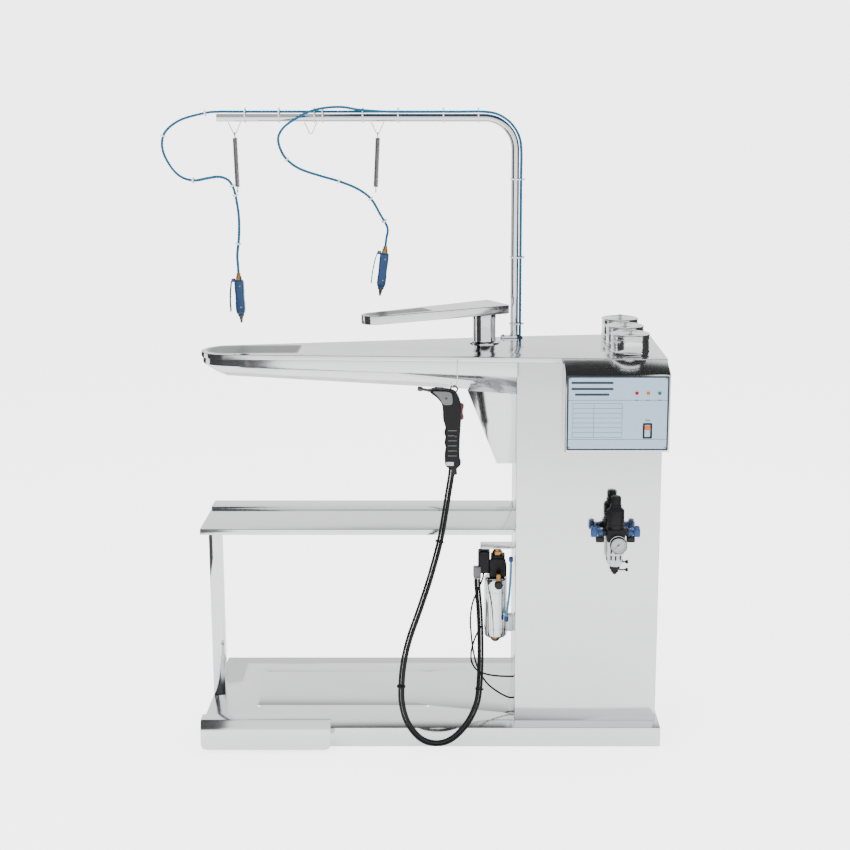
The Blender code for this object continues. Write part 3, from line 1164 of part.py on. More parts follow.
def solenoid_valve():
    at = (SEPARATOR_AT[0], SEPARATOR_AT[1], SEPARATOR_AT[2] + SEPARATOR_HEIGHT + GAP)
    block = boxes("solenoid_valve", ((-0.0165, -0.018, 0.002), (0.0265, 0.018, 0.055)))
    valve = place("solenoid_valve", block, BLACK_PLASTIC, at=at)
    coil = boxes("valve_coil", ((-0.0435, -0.022, 0.012), (-0.0140, 0.008, 0.067)))
    join(valve, helper("valve_coil", coil, at=at))
    fittings = rods("valve_fittings", ((0.004, 0, 0.050), (0.004, 0, 0.0765), 0.012),
                    ((0.004, 0, 0.0), (0.004, 0, 0.006), 0.010), segments=12)
    join(valve, helper("valve_fittings", fittings, at=at))
    plate_end = COLUMN_LEFT - GAP - at[0]
    plate = boxes("valve_bracket", ((-0.038, -0.025, 0.0755), (plate_end, 0.025, 0.0785)))
    join(valve, helper("valve_bracket", plate, at=at))
    gland = boxes("cable_gland", ((-0.0555, -0.0275, -0.0010), (-0.0365, -0.0120, 0.030)))
    join(valve, helper("cable_gland", gland, at=at))
    knob = rods("drain_knob", ((0.006, -0.036, -0.010), (0.006, -0.048, -0.010), 0.010),
                ((0.006, -0.037, -0.010), (0.006, -0.037, 0.012), 0.006), segments=12)
    neck = boxes("drain_neck", ((0.001, -0.043, 0.008), (0.011, -0.015, 0.018)))
    for name, data in (("drain_neck", neck), ("drain_knob", knob)):
        join(valve, helper(name, data, at=at))
    place("valve_tube", curve_data("valve_tube", [
        (COLUMN_LEFT - 0.0078, front(0.118), 0.428), (COLUMN_LEFT - 0.0085, front(0.117), 0.390),
        (COLUMN_LEFT - 0.0115, front(0.117), 0.340), (COLUMN_LEFT - 0.0160, front(0.120), 0.300),
        (COLUMN_LEFT - 0.0180, front(0.124), 0.2765)], 0.003), CYAN_HOSE)


# Vacuum unit inside the column

VACUUM_AT = ((COLUMN_LEFT + COLUMN_RIGHT) / 2, (COLUMN_FRONT + COLUMN_REAR) / 2)
HOUSING_FLOOR = BASE_HEIGHT + MOTOR_HEIGHT + 3 * GAP


def vacuum_unit():
    floor = BASE_HEIGHT + GAP
    bore = SHAFT_RADIUS + JOINT_PLAY
    turned("blower_motor", [
        (0.050, MOTOR_HEIGHT - GAP), (MOTOR_RADIUS, MOTOR_HEIGHT - 0.010), (MOTOR_RADIUS, 0.010),
        (MOTOR_RADIUS + 0.010, 0.006), (MOTOR_RADIUS + 0.010, 0), (0, 0), (0, MOTOR_HEIGHT - 0.040),
        (bore, MOTOR_HEIGHT - 0.040), (bore, MOTOR_HEIGHT - GAP)], DARK_METAL, closed=True, at=(*VACUUM_AT, floor))
    wall = SHEET
    height = HOUSING_HEIGHT
    housing = turned("blower_housing", [
        (INLET_RADIUS, height + 0.012), (INLET_RADIUS, height), (HOUSING_RADIUS, height), (HOUSING_RADIUS, 0),
        (bore + 0.004, 0), (bore + 0.004, wall), (HOUSING_RADIUS - wall, wall), (HOUSING_RADIUS - wall, height - wall),
        (INLET_RADIUS - wall, height - wall), (INLET_RADIUS - wall, height + 0.012)], GALVANISED, steps=24,
        closed=True, at=(*VACUUM_AT, HOUSING_FLOOR))
    outlet = boxes("blower_outlet", ((-0.040, HOUSING_RADIUS - 0.030, 0.015), (0.040, HOUSING_RADIUS + 0.010, 0.075)))
    cut(housing, helper("blower_outlet", outlet, at=(*VACUUM_AT, HOUSING_FLOOR)))
    disc = rods("blower_impeller", ((0, 0, 0.012), (0, 0, 0.014), IMPELLER_RADIUS), segments=32)
    impeller = place("blower_impeller", disc, ALUMINIUM, at=(*VACUUM_AT, HOUSING_FLOOR))
    shaft = rods("impeller_shaft", ((0, 0, -0.030), (0, 0, 0.030), SHAFT_RADIUS))
    join(impeller, helper("impeller_shaft", shaft, at=(*VACUUM_AT, HOUSING_FLOOR)))
    blades = bmesh.new()
    count = 8
    middle = (BLADE_ROOT + BLADE_TIP) / 2
    for blade in range(count):
        add_box(blades, (BLADE_ROOT, -0.001, 0.013), (BLADE_TIP, 0.001, 0.060))
        turned_verts = blades.verts[-8:]
        spin = Matrix.Rotation(2 * math.pi * blade / count, 4, "Z")
        lean = Matrix.Translation((middle, 0, 0)) @ Matrix.Rotation(0.5, 4, "Z") @ Matrix.Translation((-middle, 0, 0))
        bmesh.ops.transform(blades, matrix=spin @ lean, verts=turned_verts)
    join(impeller, helper("impeller_blades", mesh_of("blades", blades), at=(*VACUUM_AT, HOUSING_FLOOR)))


def suction_damper():
    """A flap that closes the duct opening from inside the column, hung from a shaft above it."""
    shaft_z = DUCT_HIGH[1] + 0.010
    axis = (COLUMN_LEFT + THIN_SHEET + 0.006, (DUCT_LOW[0] + DUCT_HIGH[0]) / 2, shaft_z)
    half = (DUCT_HIGH[0] - DUCT_LOW[0]) / 2 + 0.005
    drop = shaft_z - DUCT_LOW[1] + 0.005
    back = THIN_SHEET + 0.006 - THIN_SHEET - JOINT_PLAY / 2
    plate = boxes("damper_flap", ((-back, -half, -drop), (-back + THIN_SHEET, half, 0.002)))
    flap = place("damper_flap", plate, GALVANISED, at=axis)
    shaft = rods("damper_shaft", ((0, -half - 0.010, 0), (0, half + 0.010, 0), 0.0045), segments=12)
    join(flap, helper("damper_shaft", shaft, at=axis))


def mains_inlet():
    """A three-pin appliance inlet on the rear cover."""
    at = (COLUMN_RIGHT - 0.0785, COLUMN_REAR + THIN_SHEET + 2 * GAP, 0.130)
    inlet = place("mains_inlet", boxes("mains_inlet", ((-0.025, 0, -0.0165), (0.025, 0.014, 0.0165))),
                  BLACK_PLASTIC, at=at)
    bevel(inlet, 0.002, 1)
    recess = boxes("inlet_recess", ((-0.0125, 0.003, -0.0085), (0.0125, 0.020, 0.0085)))
    cut(inlet, helper("inlet_recess", recess, at=at))
    pins = boxes("inlet_pins", *(((x - 0.001, 0.001, z - 0.002), (x + 0.001, 0.011, z + 0.002))
                                 for x, z in ((-0.007, 0.002), (0.0, -0.002), (0.007, 0.002))))
    join(inlet, helper("inlet_pins", pins, at=at))


def build():
    base_tray()
    foot_pedal()
    support_leg()
    lower_shelf()
    column_shell()
    rear_cover()
    board_top()
    board_screen()
    vacuum_pan()
    sleeve_post()
    sleeve_board()
    gantry()
    arm_hooks()
    balance_springs()
    hoses_and_cables()
    spray_guns()
    steam_gun()
    steam_gun_hook()
    jars()
    control_box()
    power_rocker()
    filter_regulator()
    moisture_separator()
    solenoid_valve()
    vacuum_unit()
    suction_damper()
    mains_inlet()


build()
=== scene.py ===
"""A stain-removal spotting table in polished steel, finished around its CAD frame.

Metres, +Z up, front towards -Y. The camera and the free hoses come first, then the sheet metal,
the boards, the gantry and guns, and the fittings.
"""

import math

import bmesh
import bpy
from mathutils import Matrix, Vector


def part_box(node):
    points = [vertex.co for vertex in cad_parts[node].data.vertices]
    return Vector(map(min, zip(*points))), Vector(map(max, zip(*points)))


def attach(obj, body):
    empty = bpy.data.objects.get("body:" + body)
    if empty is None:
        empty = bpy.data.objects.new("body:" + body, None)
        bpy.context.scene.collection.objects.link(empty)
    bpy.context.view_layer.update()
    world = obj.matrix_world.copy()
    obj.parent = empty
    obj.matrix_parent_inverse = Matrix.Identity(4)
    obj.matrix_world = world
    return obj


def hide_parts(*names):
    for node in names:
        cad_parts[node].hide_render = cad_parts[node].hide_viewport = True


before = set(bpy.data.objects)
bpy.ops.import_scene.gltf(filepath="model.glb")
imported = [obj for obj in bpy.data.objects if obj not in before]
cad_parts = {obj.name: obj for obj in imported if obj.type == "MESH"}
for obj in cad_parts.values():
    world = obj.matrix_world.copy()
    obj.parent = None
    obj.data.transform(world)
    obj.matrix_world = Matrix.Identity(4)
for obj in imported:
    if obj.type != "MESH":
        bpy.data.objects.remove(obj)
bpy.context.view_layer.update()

# Places that the frame doesn't state: the base's front edge, and the axes of round pieces
BASE_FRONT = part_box("base_tray")[0].y
BOARD_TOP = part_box("board_top")[1].z
ROW_DEPTH = 0.274
POST = Vector((0.2045, BASE_FRONT + ROW_DEPTH, 0))
PIPE_RADIUS = 0.0095
HOOK_WIRE = 0.00125
ARM_Z = 1.487
SLEEVE_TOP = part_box("sleeve_top")[1].z
FRONT = Matrix.Rotation(math.pi / 2, 4, "X")
CYCLE = 2 * math.pi


def depth(y):
    """Y of a point this far behind the base's front edge."""
    return BASE_FRONT + y


def at(x, y, z, *turns):
    """A frame at a point, turned by (degrees, axis) pairs."""
    matrix = Matrix.Translation((x, y, z))
    for degrees, axis in turns:
        matrix = matrix @ Matrix.Rotation(math.radians(degrees), 4, axis)
    return matrix


SLEEVE = at(0.1295, BASE_FRONT + 0.207, SLEEVE_TOP, (31.3, "Z"))


def linked(name, data):
    """A new object in the scene."""
    made = bpy.data.objects.new(name, data)
    bpy.context.scene.collection.objects.link(made)
    return made


def plain(shape, name):
    """The finished shape as a mesh."""
    mesh = bpy.data.meshes.new(name)
    shape.to_mesh(mesh)
    shape.free()
    return mesh


def welded(node_name):
    """A CAD node's shape, its triangles joined at their corners."""
    shape = bmesh.new()
    shape.from_mesh(bpy.data.objects[node_name].data)
    bmesh.ops.remove_doubles(shape, verts=shape.verts, dist=2e-05)
    return shape


# Shader groups and materials

def shader_group(name, inputs, outputs):
    tree = bpy.data.node_groups.new(name, "ShaderNodeTree")
    for label, kind, value in inputs:
        tree.interface.new_socket(label, in_out="INPUT", socket_type=kind).default_value = value
    for label, kind in outputs:
        tree.interface.new_socket(label, in_out="OUTPUT", socket_type=kind)
    return (tree, tree.nodes.new("NodeGroupInput"), tree.nodes.new("NodeGroupOutput"))


def node(tree, kind, links=(), **settings):
    """A shader or geometry node, with (input, source socket or value) pairs set on it."""
    made = tree.nodes.new(kind)
    for key, value in settings.items():
        setattr(made, key, value)
    for key, source in links:
        if isinstance(source, bpy.types.NodeSocket):
            tree.links.new(source, made.inputs[key])
        else:
            made.inputs[key].default_value = source
    return made


def patchy_group():
    """Colour and roughness that drift over the surface, and a height for fine texture."""
    tree, given, out = shader_group("patchy_finish", (("Colour", "NodeSocketColor", (0.5, 0.5, 0.5, 1)),
        ("Second Colour", "NodeSocketColor", (0.4, 0.4, 0.4, 1)), ("Patch Scale", "NodeSocketFloat", 20.0),
        ("Grain Scale", "NodeSocketFloat", 900.0), ("Low Roughness", "NodeSocketFloat", 0.3),
        ("High Roughness", "NodeSocketFloat", 0.4), ("Stretch", "NodeSocketVector", (1, 1, 1))),
        (("Colour", "NodeSocketColor"), ("Roughness", "NodeSocketFloat"), ("Height", "NodeSocketFloat")))
    place = node(tree, "ShaderNodeTexCoord")
    drawn = node(tree, "ShaderNodeVectorMath", ((0, place.outputs["Object"]), (1, given.outputs["Stretch"])),
        operation="MULTIPLY")
    patches = node(tree, "ShaderNodeTexNoise",
        (("Vector", drawn.outputs[0]), ("Scale", given.outputs["Patch Scale"]), ("Detail", 5.0),
        ("Roughness", 0.6)))
    grain = node(tree, "ShaderNodeTexNoise", (("Vector", drawn.outputs[0]),
        ("Scale", given.outputs["Grain Scale"]), ("Detail", 2.0)))
    mix = node(tree, "ShaderNodeMix", ((0, patches.outputs["Fac"]), (6, given.outputs["Colour"]),
        (7, given.outputs["Second Colour"])), data_type="RGBA")
    spread = node(tree, "ShaderNodeMapRange", ((0, patches.outputs["Fac"]), (1, 0.3), (2, 0.7),
        (3, given.outputs["Low Roughness"]), (4, given.outputs["High Roughness"])))
    tree.links.new(mix.outputs[2], out.inputs["Colour"])
    tree.links.new(spread.outputs[0], out.inputs["Roughness"])
    tree.links.new(grain.outputs["Fac"], out.inputs["Height"])
    return tree


def handling_group():
    """A mask of fine scratches and fingermarks on polished metal, from stretched noise."""
    tree, given, out = shader_group("handling_marks", (("Scale", "NodeSocketFloat", 14.0),
        ("Amount", "NodeSocketFloat", 0.5), ("Base", "NodeSocketFloat", 0.1)),
        (("Roughness", "NodeSocketFloat"), ("Height", "NodeSocketFloat")))
    place = node(tree, "ShaderNodeTexCoord")
    turned_place = node(tree, "ShaderNodeMapping", (("Vector", place.outputs["Object"]),
        ("Rotation", (0.3, 0.5, 0.9)), ("Scale", (1, 40, 1))))
    scratches = node(tree, "ShaderNodeTexNoise", (("Vector", turned_place.outputs[0]),
        ("Scale", given.outputs["Scale"]), ("Detail", 8.0)))
    lines = node(tree, "ShaderNodeMapRange", ((0, scratches.outputs["Fac"]), (1, 0.58), (2, 0.75), (3, 0.0),
        (4, 1.0)))
    clouds = node(tree, "ShaderNodeTexNoise", (("Vector", place.outputs["Object"]), ("Scale", 3.0),
        ("Detail", 4.0)))
    marks = node(tree, "ShaderNodeMath", ((0, lines.outputs[0]), (1, clouds.outputs["Fac"])),
        operation="MULTIPLY")
    scaled = node(tree, "ShaderNodeMath", ((0, marks.outputs[0]), (1, given.outputs["Amount"]),
        (2, given.outputs["Base"])), operation="MULTIPLY_ADD")
    tree.links.new(scaled.outputs[0], out.inputs["Roughness"])
    tree.links.new(clouds.outputs["Fac"], out.inputs["Height"])
    return tree


PATCHY = patchy_group()
HANDLING = handling_group()


def new_material(name, metallic=0.0, coat=0.0, bump=0.0, bump_depth=0.0004):
    """A material and its shader, with a bump node ready for a height."""
    material = bpy.data.materials.new(name)
    material.use_nodes = True
    tree = material.node_tree
    shader = tree.nodes["Principled BSDF"]
    shader.inputs["Metallic"].default_value = metallic
    shader.inputs["Coat Weight"].default_value = coat
    height = None
    if bump:
        relief = node(tree, "ShaderNodeBump", (("Strength", bump), ("Distance", bump_depth)))
        tree.links.new(relief.outputs[0], shader.inputs["Normal"])
        height = relief.inputs["Height"]
    return (material, tree, shader, height)


def polished(name, colour, roughness=0.06, marks=0.25, wave=0.06, wave_depth=0.004):
    """Mirror-polished or satin metal, with a faint wave and handling marks."""
    material, tree, shader, height = new_material(name, metallic=1.0, bump=wave, bump_depth=wave_depth)
    shader.inputs["Base Color"].default_value = (*colour, 1)
    group = node(tree, "ShaderNodeGroup", node_tree=HANDLING)
    group.inputs["Amount"].default_value = marks
    group.inputs["Base"].default_value = roughness
    tree.links.new(group.outputs["Roughness"], shader.inputs["Roughness"])
    tree.links.new(group.outputs["Height"], height)
    return material


def moulded(name, colour, second, low=0.35, high=0.5, metallic=0.0, coat=0.0, bump=0.15, grain=1400.0,
        patch=25.0, stretch=(1, 1, 1), specular=0.5):
    """Plastic, rubber or painted metal with a fine skin and slight colour drift."""
    material, tree, shader, height = new_material(name, metallic=metallic, coat=coat, bump=bump)
    shader.inputs["Specular IOR Level"].default_value = specular
    group = node(tree, "ShaderNodeGroup", node_tree=PATCHY)
    for label, value in (("Colour", (*colour, 1)), ("Second Colour", (*second, 1)), ("Patch Scale", patch),
            ("Grain Scale", grain), ("Low Roughness", low), ("High Roughness", high), ("Stretch", stretch)):
        group.inputs[label].default_value = value
    tree.links.new(group.outputs["Colour"], shader.inputs["Base Color"])
    tree.links.new(group.outputs["Roughness"], shader.inputs["Roughness"])
    tree.links.new(group.outputs["Height"], height)
    return material


def lens(name, colour, glow):
    material = moulded(name, colour, [part * 0.8 for part in colour], low=0.2, high=0.3, bump=0.05,
        specular=0.15)
    shader = material.node_tree.nodes["Principled BSDF"]
    shader.inputs["Emission Color"].default_value = (*colour, 1)
    shader.inputs["Emission Strength"].default_value = glow
    return material


def clear(name, colour, roughness=0.03):
    material, tree, shader, _ = new_material(name)
    shader.inputs["Base Color"].default_value = (*colour, 1)
    shader.inputs["Roughness"].default_value = roughness
    shader.inputs["Transmission Weight"].default_value = 1.0
    shader.inputs["IOR"].default_value = 1.45
    return material


STEEL = polished("mirror_steel", (0.8, 0.81, 0.82), 0.13, 0.16, wave=0.02)
# Darker steel for the rounded bends and rims: a painted dark reflection of the surroundings, not a burnished
# finish
DARK_BEND_REFLECTION = polished("painted_bend_reflection", (0.13, 0.135, 0.14), 0.16, 0.2, wave=0.0001)
SCREEN_STEEL = polished("screen_steel", (0.3, 0.305, 0.31), 0.34, 0.2)
CHROME = polished("bright_chrome", (0.8, 0.81, 0.83), 0.04, 0.1, wave=0.0001)
ZINC = moulded("zinc_wire", (0.34, 0.35, 0.36), (0.27, 0.28, 0.29), 0.25, 0.4, metallic=1.0, bump=0.05)
GALVANISED = moulded("galvanised_sheet", (0.55, 0.57, 0.6), (0.66, 0.68, 0.7), 0.35, 0.5, metallic=1.0,
    patch=60.0)
CAST = moulded("cast_aluminium", (0.66, 0.67, 0.68), (0.58, 0.59, 0.6), 0.35, 0.5, metallic=1.0, bump=0.3)
BRASS = moulded("turned_brass", (0.4, 0.22, 0.07), (0.28, 0.14, 0.045), 0.22, 0.38, metallic=1.0, bump=0.1)
BLUE_METAL = moulded("blue_anodised", (0.022, 0.062, 0.16), (0.017, 0.05, 0.13), 0.3, 0.4, metallic=0.4,
    bump=0.1)
BLUE_HOSE = moulded("blue_hose_skin", (0.001, 0.078, 0.165), (0.001, 0.098, 0.2), 0.25, 0.35, bump=0.05,
    specular=0.3)
CYAN_HOSE = moulded("cyan_tube_skin", (0.008, 0.26, 0.5), (0.008, 0.21, 0.42), 0.2, 0.3, coat=0.3, bump=0.05)
BLUE_FITTING = moulded("blue_fitting", (0.008, 0.055, 0.2), (0.008, 0.045, 0.16), 0.25, 0.4, bump=0.1)
BLACK = moulded("black_moulding", (0.006, 0.006, 0.007), (0.01, 0.01, 0.011), 0.42, 0.55, bump=0.25,
    specular=0.2)
BLACK_GLOSS = moulded("black_glossy", (0.006, 0.006, 0.007), (0.009, 0.009, 0.01), 0.18, 0.28, bump=0.05,
    specular=0.25)
RUBBER = moulded("black_rubber_skin", (0.005, 0.005, 0.006), (0.008, 0.008, 0.009), 0.42, 0.56, bump=0.1,
    specular=0.2)
GREY = moulded("grey_moulding", (0.15, 0.155, 0.16), (0.12, 0.125, 0.13), 0.4, 0.5, bump=0.2)
DARK_METAL = moulded("dark_steel", (0.1, 0.1, 0.105), (0.07, 0.07, 0.075), 0.28, 0.42, metallic=0.9, bump=0.1)
PAINT = moulded("motor_paint", (0.05, 0.055, 0.06), (0.06, 0.065, 0.07), 0.4, 0.5, bump=0.3)
RED_BUTTON = moulded("red_button", (0.1, 0.006, 0.006), (0.07, 0.005, 0.005), 0.2, 0.3, bump=0.05)
NYLON = moulded("white_nylon", (0.8, 0.81, 0.8), (0.74, 0.75, 0.74), 0.35, 0.5, bump=0.1)
WHITE = moulded("white_face", (0.82, 0.83, 0.83), (0.78, 0.79, 0.79), 0.3, 0.4, bump=0.05)
LABEL = moulded("label_panel", (0.38, 0.53, 0.66), (0.36, 0.51, 0.64), 0.25, 0.35, coat=0.3, bump=0.03)
LABEL_DARK = moulded("label_border", (0.018, 0.032, 0.048), (0.015, 0.028, 0.042), 0.3, 0.4, bump=0.03,
    specular=0.3)
LABEL_LINE = moulded("label_line", (0.045, 0.065, 0.085), (0.04, 0.06, 0.08), 0.3, 0.4, bump=0.03)
RED_LENS = lens("red_lens", (0.34, 0.008, 0.03), 0.12)
AMBER_LENS = lens("amber_lens", (0.48, 0.19, 0.015), 0.12)
GREEN_LENS = lens("green_lens", (0.006, 0.18, 0.12), 0.12)
ORANGE_LENS = lens("orange_lens", (0.6, 0.12, 0.012), 0.5)
BOWL = moulded("frosted_bowl", (0.62, 0.64, 0.65), (0.56, 0.58, 0.59), 0.12, 0.2, coat=0.5, bump=0.03)
GLASS = clear("gauge_glass", (0.95, 0.97, 0.98))
# Slot names by material, looked up where a piece names no slot; the looked-up slot is not used
SLOTS = {BLACK.name: "black_plastic", BLACK_GLOSS.name: "black_plastic", BLUE_FITTING.name: "black_plastic",
    BLUE_HOSE.name: "blue_hose", BLUE_METAL.name: "blue_metal", BOWL.name: "clear_bowl",
    BRASS.name: "dark_metal", CAST.name: "aluminium", CHROME.name: "chrome", CYAN_HOSE.name: "cyan_hose",
    DARK_METAL.name: "dark_metal", GLASS.name: "white_plastic", GREY.name: "black_plastic",
    LABEL.name: "steel", LABEL_DARK.name: "steel", LABEL_LINE.name: "steel", NYLON.name: "white_plastic",
    RUBBER.name: "black_rubber", STEEL.name: "steel", WHITE.name: "white_plastic", ZINC.name: "zinc"}


# Meshes, drawn straight into their final places

def mm(lengths):
    """Lengths written in millimetres, however nested, in metres."""
    return lengths / 1000 if isinstance(lengths, (int, float)) else tuple(mm(length) for length in lengths)


def new_shape():
    return bmesh.new()


def add_rings(shape, rings, closed_ends=True, loop=False):
    """Joins rings of the same number of points. A ring of one point is a pole."""
    made = [[shape.verts.new(point) for point in ring] for ring in rings]
    pairs = list(zip(made, made[1:]))
    if loop:
        pairs.append((made[-1], made[0]))
    for first, second in pairs:
        count = max(len(first), len(second))
        for index in range(count if count > 1 else 0):
            after = (index + 1) % count
            if len(first) == 1:
                face = first[0], second[after], second[index]
            elif len(second) == 1:
                face = first[index], first[after], second[0]
            else:
                face = first[index], first[after], second[after], second[index]
            shape.faces.new(face).smooth = True
    if closed_ends and (not loop):
        for ring in (made[0], made[-1]):
            if len(ring) > 2:
                shape.faces.new(ring)


def lathe(shape, profile, place, steps=40, loop=False):
    """Turns (radius, height) points about the frame's Z axis."""
    rings = []
    for radius, height in profile:
        if radius < 1e-07:
            rings.append([place @ Vector((0, 0, height))])
        else:
            rings.append([place @ Vector((radius * math.cos(CYCLE * step / steps),
                radius * math.sin(CYCLE * step / steps), height)) for step in range(steps)])
    add_rings(shape, rings, loop=loop)


def frames_along(points, twist=None):
    """A side and an up direction at every point of a path, carried along without rolling."""
    tangents = []
    for index in range(len(points)):
        before, after = points[max(index - 1, 0)], points[min(index + 1, len(points) - 1)]
        tangents.append((after - before).normalized())
    side = tangents[0].orthogonal().normalized()
    if twist is not None:
        side = (Vector(twist) - tangents[0] * tangents[0].dot(Vector(twist))).normalized()
    sides = []
    for index, tangent in enumerate(tangents):
        if index:
            side = tangents[index - 1].rotation_difference(tangent) @ side
        side = (side - tangent * tangent.dot(side)).normalized()
        sides.append((side.copy(), tangent.cross(side)))
    return sides


def sweep(shape, points, outline, twist=None, sizes=None, loop=False):
    """Runs a closed outline of (side, up) points along a path."""
    points = [Vector(point) for point in points]
    rings = []
    for index, (point, (side, up)) in enumerate(zip(points, frames_along(points, twist))):
        size = sizes[index] if sizes else 1.0
        rings.append([point + (side * u + up * v) * size for u, v in outline])
    add_rings(shape, rings, loop=loop)


def ring_of(radius, sides=16):
    return [(radius * math.cos(CYCLE * step / sides), radius * math.sin(CYCLE * step / sides))
        for step in range(sides)]


def arc(centre, radius, start, end, steps):
    turns = [math.radians(start + (end - start) * step / steps) for step in range(steps + 1)]
    return [(centre[0] + radius * math.cos(turn), centre[1] + radius * math.sin(turn)) for turn in turns]


def inset(outline, distance):
    """The outline moved inwards. It runs anticlockwise."""
    moved = []
    for index, here in enumerate(outline):
        before, here, after = Vector(outline[index - 1]), Vector(here), Vector(outline[(index
            + 1) % len(outline)])
        first, second = (here - before).normalized(), (after - here).normalized()
        one, two = Vector((-first.y, first.x)), Vector((-second.y, second.x))
        moved.append(tuple(here + (one + two) * distance / max(0.35, 1 + one.dot(two))))
    return moved


def rounded_box(low, high, corner, steps=3):
    """The outline of a rectangle with rounded corners."""
    (x0, y0), (x1, y1) = (low, high)
    return arc((x1 - corner, y0 + corner), corner, -90, 0, steps) + arc((x1 - corner, y1 - corner), corner, 0,
        90, steps) + arc((x0 + corner, y1 - corner), corner, 90, 180, steps) + arc((x0 + corner, y0 + corner),
        corner, 180, 270, steps)


def prism(shape, outline, low, high, place, rounding=0.0, steps=3):
    """A flat outline made solid between two heights, with its rims rounded."""
    levels = [(0.0, low), (0.0, high)]
    if rounding:
        turns = [math.pi / 2 * step / steps for step in range(steps + 1)]
        levels = [(rounding * (1 - math.sin(turn)), low + rounding * (1 - math.cos(turn))) for turn in turns]
        levels += [(rounding * (1 - math.sin(turn)), high - rounding * (1 - math.cos(turn)))
            for turn in reversed(turns)]
    rings = []
    for distance, height in levels:
        moved = inset(outline, distance) if distance > 1e-09 else outline
        rings.append([place @ Vector((x, y, height)) for x, y in moved])
    add_rings(shape, rings)


def block(shape, low, high, place=Matrix(), corner=0.001, rounding=None, steps=3):
    """A box with rounded corners and rims."""
    rounding = corner * 0.8 if rounding is None else rounding
    outline = rounded_box(low[:2], high[:2], corner, steps)
    prism(shape, outline, low[2], high[2], place, rounding)


def smooth_route(points, spacing):
    """Points about one spacing apart on a smooth curve through the given points."""
    places = [Vector(point) for point in points]
    ends = [places[0] * 2 - places[1], *places, places[-1] * 2 - places[-2]]
    fine = [places[0]]
    for before, here, there, after in zip(ends, ends[1:], ends[2:], ends[3:]):
        for step in range(1, 17):
            t = step / 16
            fine.append(0.5 * (2 * here + (there - before) * t
                + (2 * before - 5 * here + 4 * there - after) * t * t
                + (3 * here - before - 3 * there + after) * t ** 3))
    length = sum(((b - a).length for a, b in zip(fine, fine[1:])))
    count = max(2, round(length / spacing))
    route, walked = [fine[0]], 0.0
    for a, b in zip(fine, fine[1:]):
        step = (b - a).length
        while len(route) < count and walked + step >= length * len(route) / count:
            route.append(a.lerp(b, (length * len(route) / count - walked) / step))
        walked += step
    return route + [fine[-1]]


def length_of(points):
    return sum(((b - a).length for a, b in zip(points, points[1:])))


def finished(name, shape, material, body="table", slot=None, stands_for=(), sharp=38, second=None):
    """Turns a shape into a piece at the origin that rides on a body."""
    if isinstance(shape, bmesh.types.BMesh):
        bmesh.ops.recalc_face_normals(shape, faces=shape.faces)
        mesh = plain(shape, name)
    else:
        mesh = shape
        mesh.name = name
    if sharp:
        mesh.shade_smooth()
        mesh.set_sharp_from_angle(angle=math.radians(sharp))
    picked = [polygon.material_index for polygon in mesh.polygons] if second else None
    mesh.materials.clear()
    mesh.materials.append(material)
    if second:
        mesh.materials.append(second)
        mesh.polygons.foreach_set("material_index", picked)
    piece = linked(name, mesh)
    if body:
        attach(piece, body)
    slot = slot or SLOTS.get(material.name)
    if stands_for:
        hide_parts(*stands_for)
    return piece


def turned(name, profile, place, material, *rest, steps=40, loop=False, **settings):
    """A piece turned from one profile."""
    shape = new_shape()
    lathe(shape, profile, place, steps, loop)
    return finished(name, shape, material, *rest, **settings)


def slab(name, low, high, place, material, *rest, corner=0.002, rounding=None, **settings):
    """A piece that is one rounded block."""
    shape = new_shape()
    block(shape, low, high, place, corner=corner, rounding=rounding)
    return finished(name, shape, material, *rest, **settings)


def settled(obj):
    """The object's evaluated mesh, as a plain mesh. The object is removed."""
    bpy.context.view_layer.update()
    mesh = bpy.data.meshes.new_from_object(obj.evaluated_get(bpy.context.evaluated_depsgraph_get()))
    bpy.data.objects.remove(obj, do_unlink=True)
    return mesh


def softened(node_name, material, body="table", slot="steel", width=0.0008, segments=2, name=None, fold=0.0):
    """A CAD node's shape again, its edges rounded: the bends of a sheet more than its rims. On steel the
    rounded faces take a darker steel, a painted dark reflection along the bends and rims.
    """
    shape = welded(node_name)
    bmesh.ops.dissolve_limit(shape, angle_limit=math.radians(0.6), verts=shape.verts, edges=shape.edges)
    fold = max(fold, width)
    weights = shape.edges.layers.float.new("bevel_weight_edge")
    for edge in shape.edges:
        if len(edge.link_faces) == 2 and edge.calc_face_angle(0) > math.radians(40):
            reach = min(face.calc_area() for face in edge.link_faces) / edge.calc_length()
            wide = reach > 2.2 * fold and edge.is_convex
            edge[weights] = 1.0 if wide else width / fold
    mesh = plain(shape, node_name)
    # On steel the bevel's faces get the darker steel: a painted dark reflection along the rounded bends and
    # rims
    bend = DARK_BEND_REFLECTION if material is STEEL else None
    draft = linked(node_name + "_draft", mesh)
    mesh.materials.append(material)
    if bend:
        mesh.materials.append(bend)
    rounding = draft.modifiers.new("Rounding", "BEVEL")
    rounding.material = 1 if bend else -1
    rounding.width = fold
    rounding.segments = segments
    rounding.limit_method = "WEIGHT"
    draft.modifiers.new("Shading", "WEIGHTED_NORMAL").keep_sharp = True
    mesh = settled(draft)
    return finished(name or node_name + "_finished", mesh, material, body, slot, (node_name,), sharp=50,
        second=bend)


# Geometry node trees for what repeats

def geometry_tree(name, inputs):
    tree = bpy.data.node_groups.new(name, "GeometryNodeTree")
    tree.interface.new_socket("Geometry", in_out="INPUT", socket_type="NodeSocketGeometry")
    for label, kind, value in inputs:
        socket = tree.interface.new_socket(label, in_out="INPUT", socket_type=kind)
        if value is not None:
            socket.default_value = value
    tree.interface.new_socket("Geometry", in_out="OUTPUT", socket_type="NodeSocketGeometry")
    return (tree, tree.nodes.new("NodeGroupInput"), tree.nodes.new("NodeGroupOutput"))


